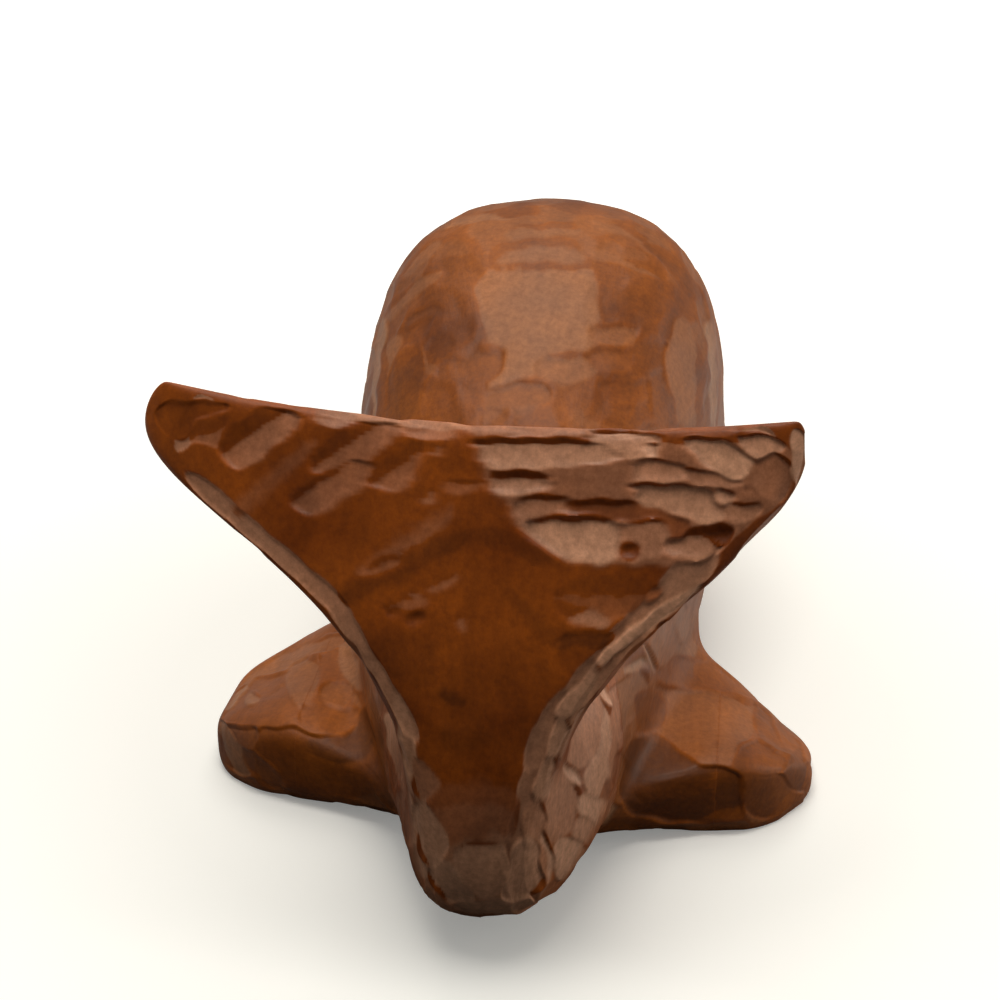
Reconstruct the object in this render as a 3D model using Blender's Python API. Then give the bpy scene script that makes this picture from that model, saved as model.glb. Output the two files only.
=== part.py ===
"""A carved wooden whale, seated on its belly and flippers, with its tail turned up.

Trunk, tail and flippers are blocks of wood glued together on dowels, and the eyes are pegs.
Metres, +Z up, nose towards +Y, right flipper towards +X. The origin is on the ground, under the trunk.
"""

import math
from collections import namedtuple

import bmesh
import bpy
from mathutils import Matrix, Vector
from mathutils.bvhtree import BVHTree

# Ground that the belly and the flippers rest on.
GROUND_Z = 0.0

# Gap that is left for glue between pieces, all round.
GLUE_GAP = 0.0003

# Smoothing steps of the form, and sides of round pegs and dowels.
SMOOTHING = 2
ROUND_SIDES = 24

# Points round each cross section of trunk and tail.
RING_POINTS = 16

# Length of the whale. The sizes in the tables of its form are shares of this.
LENGTH = 0.176

# Cross section of trunk or tail. back and belly are its (Y, Z) ends on the middle plane, left and right
# its half widths, waist how far up from the belly it is widest, and square how boxy it is. taper
# widens it towards the back, and left_lift and right_lift raise its sides along the spine.
Section = namedtuple(
    "Section",
    "back belly left right waist square taper left_lift right_lift",
    defaults=(0.0, 0.0, 0.0),
)

# Head, from the nose back.
HEAD = (
    Section((0.5000, 0.3295), (0.5000, 0.2386), 0.0398, 0.0398, 0.50, 2.0),
    Section((0.4801, 0.4290), (0.4773, 0.1250), 0.1222, 0.1222, 0.48, 2.2),
    Section((0.4261, 0.5199), (0.4205, 0.0398), 0.1960, 0.1903, 0.47, 2.5),
)

# Trunk, from behind the head to the root of the tail.
TRUNK = (
    Section((0.3182, 0.5682), (0.3125, -0.0057), 0.2330, 0.2273, 0.46, 2.8),
    Section((0.1875, 0.5795), (0.1875, -0.0142), 0.2358, 0.2358, 0.46, 2.8),
    Section((0.0568, 0.5284), (0.0568, -0.0142), 0.2188, 0.2188, 0.46, 2.8),
    Section((-0.0568, 0.4716), (-0.0568, -0.0142), 0.2017, 0.1903, 0.45, 2.7),
    Section((-0.1591, 0.3977), (-0.1648, -0.0114), 0.1733, 0.1676, 0.43, 2.6),
    Section((-0.2386, 0.3295), (-0.2614, 0.0085), 0.1449, 0.1449, 0.42, 2.7, 0.05),
)

# Stock of the tail, which turns up. Its underside becomes the broad face that looks backwards.
STOCK = (
    Section((-0.2841, 0.3011), (-0.3636, 0.0256), 0.1080, 0.1335, 0.40, 3.0, 0.15),
    Section((-0.3182, 0.2926), (-0.4801, 0.0426), 0.0824, 0.1051, 0.38, 3.2, 0.30),
    Section((-0.3466, 0.3182), (-0.5114, 0.1562), 0.0710, 0.0824, 0.36, 3.2, 0.30),
    Section((-0.3665, 0.3750), (-0.5028, 0.3097), 0.0824, 0.1051, 0.36, 3.1, 0.10),
)

# Flukes, up to their trailing edge. They are hand-cut, and the left one reaches out further.
FLUKES = (
    Section((-0.3778, 0.4517), (-0.4744, 0.4176), 0.1676, 0.2017, 0.38, 3.0, 0.0, 0.0170, 0.0057),
    Section((-0.3807, 0.5227), (-0.4403, 0.5114), 0.3153, 0.2926, 0.46, 3.6, 0.0, 0.0227, 0.0114),
    Section((-0.3892, 0.5608), (-0.4233, 0.5523), 0.3250, 0.3097, 0.48, 4.0, 0.0, 0.0352, 0.0267),
    Section((-0.3955, 0.5892), (-0.4125, 0.5847), 0.3011, 0.3000, 0.50, 4.0, 0.0, 0.0415, 0.0330),
)

# Ring points that lie on the rims of the tail's backward face, and how firmly they keep their edge.
RIM_POINTS = (10, 14)
RIM_CREASE = 0.80

# Cross section of a flipper. out is measured from its glued face, front and rear are the Y of its two
# edges, and front_top and rear_top the heights of its upper side there.
FlipperSection = namedtuple("FlipperSection", "out front rear front_top rear_top")

LEFT_FLIPPER = (
    FlipperSection(0.0000, 0.0795, -0.2216, 0.0994, 0.1193),
    FlipperSection(0.0511, 0.0511, -0.2131, 0.0625, 0.1023),
    FlipperSection(0.1136, -0.0057, -0.1648, 0.0455, 0.0739),
)
RIGHT_FLIPPER = (
    FlipperSection(0.0000, 0.0455, -0.2244, 0.0739, 0.1136),
    FlipperSection(0.0568, 0.0057, -0.2102, 0.0398, 0.0966),
    FlipperSection(0.1108, -0.0455, -0.1420, 0.0142, 0.0568),
)

# Height of the middle of a flipper's edge, as a share of its upper side's height.
FLIPPER_EDGE = 0.45

# How deep the flippers' undersides are modelled below the ground before they are cut flat.
UNDERCUT = 0.002

# The glued faces of the flippers stand this far outside the widest place of the trunk.
SHOULDER = 0.0005

# The flippers grow from the last sections of the trunk, between these ring points, top row first.
ROOT_SECTIONS = 4
ROOT_POINTS = {"left": (9, 10, 11), "right": (15, 14, 13)}

# Sides of the whale along X.
SIDES = {"left": -1, "right": 1}

# Face where the tail is glued to the trunk.
TAIL_JOINT_Y = -0.284 * LENGTH

# Dowels of the tail, and their heights.
TAIL_DOWEL_DIAMETER = 0.008
TAIL_DOWEL_LENGTH = 0.032
TAIL_DOWEL_HEIGHTS = {"lower": 0.097 * LENGTH, "upper": 0.210 * LENGTH}

# Dowels of each flipper: their height, and how far they lie from the ends of the glued face.
FLIPPER_DOWEL_DIAMETER = 0.004
FLIPPER_DOWEL_LENGTH = 0.014
FLIPPER_DOWEL_Z = 0.006
FLIPPER_DOWEL_INSET = 0.015

# Bevel on the ends of a dowel.
DOWEL_BEVEL = 0.0005

# Eyes: pegs with a domed head, how far the dome stands out, and where they sit on the head's sides.
EYE_DIAMETER = 0.0055
EYE_LENGTH = 0.009
EYE_DOME = 0.0012
EYE_PROUD = 0.0004
EYE_Y = 0.375 * LENGTH
EYE_Z = 0.227 * LENGTH
DOME_STEPS = 4

# Edges sharper than this stay crisp on dowels and eyes.
CRISP_ANGLE = math.radians(30)

# Colours and roughness of the woods.
WHALE_COLOUR = (0.25, 0.085, 0.035)
WHALE_ROUGHNESS = 0.42
DOWEL_COLOUR = (0.55, 0.36, 0.19)
DOWEL_ROUGHNESS = 0.6
EYE_COLOUR = (0.012, 0.009, 0.008)
EYE_ROUGHNESS = 0.25

# Turns of a rod that stands along Z, to lie along X or along Y.
ALONG_X = Matrix.Rotation(math.radians(90), 4, "Y")
ALONG_Y = Matrix.Rotation(math.radians(-90), 4, "X")


def clear_scene():
    """Takes out whatever the scene holds."""
    for old in list(bpy.data.objects):
        bpy.data.objects.remove(old)


def wood(name, colour, roughness):
    """A plain wood."""
    material = bpy.data.materials.new(name)
    material.use_nodes = True
    shader = material.node_tree.nodes["Principled BSDF"]
    shader.inputs["Base Color"].default_value = (*colour, 1.0)
    shader.inputs["Roughness"].default_value = roughness
    shader.inputs["Metallic"].default_value = 0.0
    return material


def add_object(name, mesh, material=None):
    """Puts a mesh in the scene."""
    thing = bpy.data.objects.new(name, mesh)
    bpy.context.scene.collection.objects.link(thing)
    if material:
        thing.data.materials.append(material)
    return thing


def add_guide(name, mesh):
    """Puts a cutting shape in the scene, which isn't part of the finished object."""
    guide = add_object(name, mesh)
    guide.hide_render = True
    guide.display_type = "WIRE"
    return guide


def to_mesh(name, shape):
    """Turns a finished bmesh into a mesh and frees it."""
    mesh = bpy.data.meshes.new(name)
    shape.to_mesh(mesh)
    shape.free()
    return mesh


def ring(section):
    """The points of a section: right side first, then over the back, the left side and the belly."""
    back = LENGTH * Vector((0.0, *section.back))
    belly = LENGTH * Vector((0.0, *section.belly))
    middle = belly.lerp(back, section.waist)
    upward = (back - belly).normalized()
    along = Vector((0.0, -upward.z, upward.y))
    points = []
    for k in range(RING_POINTS):
        angle = math.tau * k / RING_POINTS
        across = abs(math.cos(angle)) ** (2 / section.square)
        rise = abs(math.sin(angle)) ** (2 / section.square)
        to_right = math.cos(angle) > 0
        over_back = math.sin(angle) > 0
        half_width = LENGTH * (section.right if to_right else -section.left)
        lift = LENGTH * (section.right_lift if to_right else section.left_lift)
        half_width *= 1 + section.taper * (rise if over_back else -rise)
        reach = back - middle if over_back else belly - middle
        sideways = Vector((half_width * across, 0.0, 0.0))
        points.append(middle + reach * rise + sideways + along * lift * across ** 2)
    return points


def add_face(cage, corners, flip=False):
    """Adds a face, turned over if asked."""
    cage.faces.new(corners[::-1] if flip else corners)


def add_skin(cage, loops, open_cells):
    """Joins each loop of points to the next, but for the cells that are left open."""
    for i, (ahead, behind) in enumerate(zip(loops, loops[1:])):
        for k in range(RING_POINTS):
            m = (k + 1) % RING_POINTS
            if (i, k) not in open_cells:
                add_face(cage, (ahead[k], ahead[m], behind[m], behind[k]))


def close_end(cage, loop, flip):
    """Closes the cage at the nose or at the trailing edge."""
    for k in range(RING_POINTS // 2):
        corners = (loop[k], loop[-k % RING_POINTS], loop[RING_POINTS - 1 - k], loop[k + 1])
        add_face(cage, list(dict.fromkeys(corners)), flip)


def joint_x():
    """How far the glued faces of the flippers are from the middle."""
    return LENGTH * max(max(section.left, section.right) for section in TRUNK) + SHOULDER


def flipper_grid(cage, rows, side, section):
    """The points of one section of a flipper: its upper edge, the middle of its edge, and its underside."""
    grid = []
    for row in range(rows):
        share = row / (rows - 1)
        y = LENGTH * (section.front + (section.rear - section.front) * share)
        top = LENGTH * (section.front_top + (section.rear_top - section.front_top) * share)
        x = side * (joint_x() + LENGTH * section.out)
        heights = (top, top * FLIPPER_EDGE, GROUND_Z - UNDERCUT)
        grid.append([cage.verts.new((x, y, z)) for z in heights])
    return grid


def rim(grid):
    """The outer points of a grid, in order."""
    rows = range(len(grid) - 1)
    columns = range(len(grid[0]) - 1)
    path = [grid[0][b] for b in columns]
    path += [grid[a][-1] for a in rows]
    path += [grid[-1][-1 - b] for b in columns]
    path += [grid[-1 - a][0] for a in rows]
    return path


def grow_flipper(cage, root, side, sections):
    """Pulls a flipper out of the flank, section by section, and closes its tip."""
    flip = side > 0
    inner = root
    for section in sections:
        outer = flipper_grid(cage, len(root), side, section)
        near = rim(inner)
        far = rim(outer)
        for c in range(len(near)):
            d = (c + 1) % len(near)
            add_face(cage, (near[c], near[d], far[d], far[c]), flip)
        inner = outer
    for front, rear in zip(inner, inner[1:]):
        for b in range(len(front) - 1):
            add_face(cage, (front[b], front[b + 1], rear[b + 1], rear[b]), flip)


def crease_rims(cage, loops):
    """Gives the tail's backward face its edges."""
    crease = cage.edges.layers.float.new("crease_edge")
    for ahead, behind in zip(loops, loops[1:]):
        for k in RIM_POINTS:
            cage.edges.get((ahead[k], behind[k]))[crease] = RIM_CREASE


def whale_cage():
    """The cage of quads whose smooth surface is the whole whale."""
    cage = bmesh.new()
    loops = [[cage.verts.new(p) for p in ring(section)] for section in HEAD + TRUNK + STOCK + FLUKES]
    root_end = len(HEAD) + len(TRUNK)
    root_start = root_end - ROOT_SECTIONS
    roots = {}
    open_cells = set()
    for name, columns in ROOT_POINTS.items():
        roots[name] = [[loop[k] for k in columns] for loop in loops[root_start:root_end]]
        for i in range(root_start, root_end - 1):
            open_cells.update((i, min(pair)) for pair in zip(columns, columns[1:]))
    add_skin(cage, loops, open_cells)
    close_end(cage, loops[0], False)
    close_end(cage, loops[-1], True)
    grow_flipper(cage, roots["left"], SIDES["left"], LEFT_FLIPPER)
    grow_flipper(cage, roots["right"], SIDES["right"], RIGHT_FLIPPER)
    crease_rims(cage, loops[root_end:])
    loose = [vertex for vertex in cage.verts if not vertex.link_faces]
    bmesh.ops.delete(cage, geom=loose, context="VERTS")
    return cage


def add_smoothing(thing):
    """Smooths a cage."""
    smooth = thing.modifiers.new("smooth", "SUBSURF")
    smooth.levels = SMOOTHING
    smooth.render_levels = SMOOTHING


def add_boolean(thing, operation, guide):
    """Cuts a piece with a guide, or keeps only what is inside it."""
    cut = thing.modifiers.new(guide.name, "BOOLEAN")
    cut.operation = operation
    cut.object = guide
    cut.solver = "EXACT"


def add_block(name, low, high):
    """The block that a piece is cut from, between two corners."""
    shape = bmesh.new()
    bmesh.ops.create_cube(shape, size=1.0)
    low = Vector(low)
    high = Vector(high)
    stretch = Matrix.Diagonal((*(high - low), 1.0))
    bmesh.ops.transform(shape, matrix=Matrix.Translation((low + high) / 2) @ stretch, verts=shape.verts)
    return add_guide(name, to_mesh(name, shape))


def add_carved_piece(name, cage, low, high):
    """A glued piece of the whale: what lies inside its own block."""
    piece = add_object(name, cage.copy(), wood(name, WHALE_COLOUR, WHALE_ROUGHNESS))
    add_smoothing(piece)
    add_boolean(piece, "INTERSECT", add_block(name + "_block", low, high))
    piece.data.shade_smooth()
    return piece


def turned_mesh(name, profile):
    """Spins an (r, z) profile that starts and ends on the Z axis, bottom first."""
    shape = bmesh.new()
    points = [shape.verts.new((r, 0.0, z)) for r, z in profile]
    edges = [shape.edges.new(pair) for pair in zip(points, points[1:])]
    bmesh.ops.spin(
        shape,
        geom=points + edges,
        cent=(0, 0, 0),
        axis=(0, 0, 1),
        angle=math.tau,
        steps=ROUND_SIDES,
        use_merge=True,
    )
    bmesh.ops.remove_doubles(shape, verts=shape.verts, dist=1e-6)
    bmesh.ops.recalc_face_normals(shape, faces=shape.faces)
    return to_mesh(name, shape)


def rod_mesh(name, radius, length):
    """A round rod along Z, centred on the origin, with bevelled ends."""
    end = length / 2
    shoulder = end - DOWEL_BEVEL
    neck = radius - DOWEL_BEVEL
    profile = (
        (0.0, -end),
        (neck, -end),
        (radius, -shoulder),
        (radius, shoulder),
        (neck, end),
        (0.0, end),
    )
    return turned_mesh(name, profile)


def add_dowel(name, centre, turn, diameter, length, pieces):
    """A dowel across a joint, in blind holes that are a glue gap larger."""
    radius = diameter / 2
    place = Matrix.Translation(centre) @ turn
    dowel = add_object(name, rod_mesh(name, radius, length), wood(name, DOWEL_COLOUR, DOWEL_ROUGHNESS))
    dowel.matrix_world = place
    dowel.data.shade_smooth()
    dowel.data.set_sharp_from_angle(angle=CRISP_ANGLE)
    hole = add_guide(name + "_hole", rod_mesh(name + "_hole", radius + GLUE_GAP, length + 2 * GLUE_GAP))
    hole.matrix_world = place
    for piece in pieces:
        add_boolean(piece, "DIFFERENCE", hole)


def eye_mesh(name):
    """A peg whose domed head stands out of the skin at z = 0."""
    radius = EYE_DIAMETER / 2
    brim = EYE_PROUD - EYE_DOME
    bottom = brim - EYE_LENGTH
    profile = [(0.0, bottom), (radius, bottom)]
    for step in range(DOME_STEPS):
        angle = math.pi / 2 * step / DOME_STEPS
        profile.append((radius * math.cos(angle), brim + EYE_DOME * math.sin(angle)))
    profile.append((0.0, EYE_PROUD))
    return turned_mesh(name, profile)


def eye_hole_mesh(name):
    """The blind hole of an eye, a glue gap larger, open towards the outside."""
    radius = EYE_DIAMETER / 2 + GLUE_GAP
    bottom = EYE_PROUD - EYE_DOME - EYE_LENGTH - GLUE_GAP
    return turned_mesh(name, ((0.0, bottom), (radius, bottom), (radius, EYE_LENGTH), (0.0, EYE_LENGTH)))


def add_eye(name, spot, normal, trunk):
    """An eye in the side of the head, square to the skin."""
    turn = Vector((0.0, 0.0, 1.0)).rotation_difference(normal).to_matrix().to_4x4()
    place = Matrix.Translation(spot) @ turn
    eye = add_object(name, eye_mesh(name), wood(name, EYE_COLOUR, EYE_ROUGHNESS))
    eye.matrix_world = place
    eye.data.shade_smooth()
    eye.data.set_sharp_from_angle(angle=CRISP_ANGLE)
    hole = add_guide(name + "_hole", eye_hole_mesh(name + "_hole"))
    hole.matrix_world = place
    add_boolean(trunk, "DIFFERENCE", hole)


def skin_of(cage):
    """The smooth surface of the whole whale, for finding places on it."""
    whole = add_guide("whole", cage)
    add_smoothing(whole)
    return BVHTree.FromObject(whole, bpy.context.evaluated_depsgraph_get())


def add_carved_pieces(cage, far):
    """Trunk, tail and flippers, with glue gaps between their blocks."""
    half_gap = GLUE_GAP / 2
    inner_x = joint_x() - half_gap
    outer_x = joint_x() + half_gap
    front_y = TAIL_JOINT_Y + half_gap
    rear_y = TAIL_JOINT_Y - half_gap
    blocks = {
        "trunk": ((-inner_x, front_y, GROUND_Z), (inner_x, far, far)),
        "tail": ((-far, -far, GROUND_Z), (far, rear_y, far)),
        "left_flipper": ((-far, front_y, GROUND_Z), (-outer_x, far, far)),
        "right_flipper": ((outer_x, front_y, GROUND_Z), (far, far, far)),
    }
    return {name: add_carved_piece(name, cage, *corners) for name, corners in blocks.items()}


def add_tail_dowels(pieces):
    """The dowels between trunk and tail, one above the other."""
    joined = (pieces["trunk"], pieces["tail"])
    for place, height in TAIL_DOWEL_HEIGHTS.items():
        centre = (0.0, TAIL_JOINT_Y, height)
        add_dowel("tail_dowel_" + place, centre, ALONG_Y, TAIL_DOWEL_DIAMETER, TAIL_DOWEL_LENGTH, joined)


def add_flipper_dowels(pieces, name, root):
    """The two dowels between the trunk and a flipper."""
    joined = (pieces["trunk"], pieces[name + "_flipper"])
    places = {
        "front": LENGTH * root.front - FLIPPER_DOWEL_INSET,
        "rear": LENGTH * root.rear + FLIPPER_DOWEL_INSET,
    }
    for place, y in places.items():
        dowel_name = f"{name}_flipper_dowel_{place}"
        centre = (SIDES[name] * joint_x(), y, FLIPPER_DOWEL_Z)
        add_dowel(dowel_name, centre, ALONG_X, FLIPPER_DOWEL_DIAMETER, FLIPPER_DOWEL_LENGTH, joined)


def main():
    """Builds the whale."""
    clear_scene()
    cage = to_mesh("cage", whale_cage())
    skin = skin_of(cage)
    far = 2 * max(vertex.co.length for vertex in cage.vertices)
    pieces = add_carved_pieces(cage, far)
    add_tail_dowels(pieces)
    add_flipper_dowels(pieces, "left", LEFT_FLIPPER[0])
    add_flipper_dowels(pieces, "right", RIGHT_FLIPPER[0])
    for name, side in SIDES.items():
        spot, normal, _, _ = skin.ray_cast(Vector((side * far, EYE_Y, EYE_Z)), Vector((-side, 0.0, 0.0)))
        add_eye(name + "_eye", spot, normal, pieces["trunk"])


main()
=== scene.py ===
"""The looks of a hand-carved wooden whale: its tool marks, wood, floor and light.

The whale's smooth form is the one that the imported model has. Here it is made again with finer faces,
each stroke of gouge, chisel and knife is cut into it, and it is parted at the same glued joints.
Metres, +Z up, nose towards +Y, right flipper towards +X.
"""

import math
from collections import namedtuple

import bmesh
import bpy
import numpy as np
from mathutils import Matrix, Vector
from mathutils.bvhtree import BVHTree


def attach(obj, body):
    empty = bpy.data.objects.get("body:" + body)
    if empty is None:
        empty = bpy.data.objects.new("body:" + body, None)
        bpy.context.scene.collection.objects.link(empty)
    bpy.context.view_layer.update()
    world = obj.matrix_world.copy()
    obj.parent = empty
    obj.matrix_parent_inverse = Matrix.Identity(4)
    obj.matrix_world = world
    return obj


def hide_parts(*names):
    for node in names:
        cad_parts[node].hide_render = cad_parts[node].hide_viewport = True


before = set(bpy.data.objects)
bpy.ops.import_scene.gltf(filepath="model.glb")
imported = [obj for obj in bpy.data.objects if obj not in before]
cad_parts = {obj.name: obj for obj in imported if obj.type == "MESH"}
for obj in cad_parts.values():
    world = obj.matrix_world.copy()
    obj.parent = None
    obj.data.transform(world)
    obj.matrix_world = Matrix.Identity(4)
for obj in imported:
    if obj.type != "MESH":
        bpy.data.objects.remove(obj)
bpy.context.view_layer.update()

# Ground that the belly and the flippers rest on.
GROUND_Z = 0.0

# Points round each cross section of trunk and tail.
RING_POINTS = 16

# Length of the whale. The sizes in the tables of its form are shares of this.
LENGTH = 0.176

# Cross section of trunk or tail. back and belly are its (Y, Z) ends on the middle plane, left and right
# its half widths, waist how far up from the belly it is widest, and square how boxy it is. taper
# widens it towards the back, and left_lift and right_lift raise its sides along the spine.
Section = namedtuple(
    "Section",
    "back belly left right waist square taper left_lift right_lift",
    defaults=(0.0, 0.0, 0.0),
)

# Head, from the nose back.
HEAD = (
    Section((0.5000, 0.3295), (0.5000, 0.2386), 0.0398, 0.0398, 0.50, 2.0),
    Section((0.4801, 0.4290), (0.4773, 0.1250), 0.1222, 0.1222, 0.48, 2.2),
    Section((0.4261, 0.5199), (0.4205, 0.0398), 0.1960, 0.1903, 0.47, 2.5),
)

# Trunk, from behind the head to the root of the tail.
TRUNK = (
    Section((0.3182, 0.5682), (0.3125, -0.0057), 0.2330, 0.2273, 0.46, 2.8),
    Section((0.1875, 0.5795), (0.1875, -0.0142), 0.2358, 0.2358, 0.46, 2.8),
    Section((0.0568, 0.5284), (0.0568, -0.0142), 0.2188, 0.2188, 0.46, 2.8),
    Section((-0.0568, 0.4716), (-0.0568, -0.0142), 0.2017, 0.1903, 0.45, 2.7),
    Section((-0.1591, 0.3977), (-0.1648, -0.0114), 0.1733, 0.1676, 0.43, 2.6),
    Section((-0.2386, 0.3295), (-0.2614, 0.0085), 0.1449, 0.1449, 0.42, 2.7, 0.05),
)

# Stock of the tail, which turns up. Its underside becomes the broad face that looks backwards.
STOCK = (
    Section((-0.2841, 0.3011), (-0.3636, 0.0256), 0.1080, 0.1335, 0.40, 3.0, 0.15),
    Section((-0.3182, 0.2926), (-0.4801, 0.0426), 0.0824, 0.1051, 0.38, 3.2, 0.30),
    Section((-0.3466, 0.3182), (-0.5114, 0.1562), 0.0710, 0.0824, 0.36, 3.2, 0.30),
    Section((-0.3665, 0.3750), (-0.5028, 0.3097), 0.0824, 0.1051, 0.36, 3.1, 0.10),
)

# Flukes, up to their trailing edge. They are hand-cut, and the left one reaches out further.
FLUKES = (
    Section((-0.3778, 0.4517), (-0.4744, 0.4176), 0.1676, 0.2017, 0.38, 3.0, 0.0, 0.0170, 0.0057),
    Section((-0.3807, 0.5227), (-0.4403, 0.5114), 0.3153, 0.2926, 0.46, 3.6, 0.0, 0.0227, 0.0114),
    Section((-0.3892, 0.5608), (-0.4233, 0.5523), 0.3250, 0.3097, 0.48, 4.0, 0.0, 0.0352, 0.0267),
    Section((-0.3955, 0.5892), (-0.4125, 0.5847), 0.3011, 0.3000, 0.50, 4.0, 0.0, 0.0415, 0.0330),
)

# Ring points that lie on the rims of the tail's backward face, and how firmly they keep their edge.
RIM_POINTS = (10, 14)
RIM_CREASE = 0.8

# Cross section of a flipper. out is measured from its glued face, front and rear are the Y of its two
# edges, and front_top and rear_top the heights of its upper side there.
FlipperSection = namedtuple("FlipperSection", "out front rear front_top rear_top")

LEFT_FLIPPER = (
    FlipperSection(0.0000, 0.0795, -0.2216, 0.0994, 0.1193),
    FlipperSection(0.0511, 0.0511, -0.2131, 0.0625, 0.1023),
    FlipperSection(0.1136, -0.0057, -0.1648, 0.0455, 0.0739),
)
RIGHT_FLIPPER = (
    FlipperSection(0.0000, 0.0455, -0.2244, 0.0739, 0.1136),
    FlipperSection(0.0568, 0.0057, -0.2102, 0.0398, 0.0966),
    FlipperSection(0.1108, -0.0455, -0.1420, 0.0142, 0.0568),
)

# Height of the middle of a flipper's edge, as a share of its upper side's height.
FLIPPER_EDGE = 0.45

# How deep the flippers' undersides are modelled below the ground before they are cut flat.
UNDERCUT = 0.002

# The glued faces of the flippers stand this far outside the widest place of the trunk.
SHOULDER = 0.0005

# The flippers grow from the last sections of the trunk, between these ring points, top row first.
ROOT_SECTIONS = 4
ROOT_POINTS = {"left": (9, 10, 11), "right": (15, 14, 13)}

# Sides of the whale along X.
SIDES = {"left": -1, "right": 1}

# Smoothing steps of the fine form, and of the coarse one that marks are placed on.
FINE_STEPS = 5
COARSE_STEPS = 3

# Middle of the photograph, which is 1000 pixels square, and how many of its pixels a metre takes up one
# metre from the camera and at the whale.
PHOTO_CENTRE = 500
PIXELS_AT_ONE = 2040
PIXELS_PER_METRE = 4860

# Camera: where it looks, from how far, its angles round the whale and above the ground, in degrees, the
# width of its sensor in millimetres, and how near it still sees.
CAMERA_TARGET = Vector((-0.0054, 0.0, 0.0523))
CAMERA_DISTANCE = 0.42
CAMERA_AZIMUTH = 7.05
CAMERA_ELEVATION = 27.96
SENSOR_WIDTH = 36.0
CAMERA_NEAR = 0.01

# Glued joints: the tail's plane, and half the width of the gaps that show.
TAIL_JOINT_Y = -0.284 * LENGTH
SEAM = 0.000005

# Far outside the whale on every side.
FAR = 0.3

# Most triangles of one piece, and the angle from which its edges are sharp, in degrees.
MOST_TRIANGLES = 196_000
SHARP_ANGLE = 60

# Millimetres in a metre, and what keeps a number off zero.
MILLIMETRES = 1000
TINY = 1e-6

# A stroke of the blade. centre, normal and along place it, length and width are its half axes and depth
# is its greatest depth. lean and skew, from -1 to 1, move the deepest place along the stroke and across
# it, which makes the wall behind it steep. A stroke with a high power has a flat floor. The finish that it
# leaves goes from -1, dark with wax, to 1, bare.
Stroke = namedtuple("Stroke", "centre normal along length width depth power raw lean skew", defaults=(0, 0))

# Cosine of the widest angle between a stroke's place and the skin that it reaches, and how far above its
# place it still cuts, in depths.
FACING = 0.35
STROKE_RISE = 2

# Where the skin round the middle of a pit is felt, as shares of its run and of its width.
FELT_ALONG = 0.3
FELT_ACROSS = 0.35

# Small pits that the photograph shows, as (start, end, width in mm, depth in mm, finish, skew), where start
# and end are pixels of the photograph. Skew makes the upper wall of one steep.
PITS = (
    ((384, 614), (404, 610), 2.4, 0.70, -0.3, 0.3),
    ((403, 623), (426, 616), 2.6, 0.70, -0.3, 0.3),
    ((743, 490), (751, 490), 1.8, 0.90, -0.5, 0.0),
    ((658, 626), (666, 626), 1.6, 0.70, -0.5, 0.0),
    ((368, 768), (386, 764), 3.0, 0.60, -0.5, 0.3),
)
PIT_POWER = 2
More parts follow.
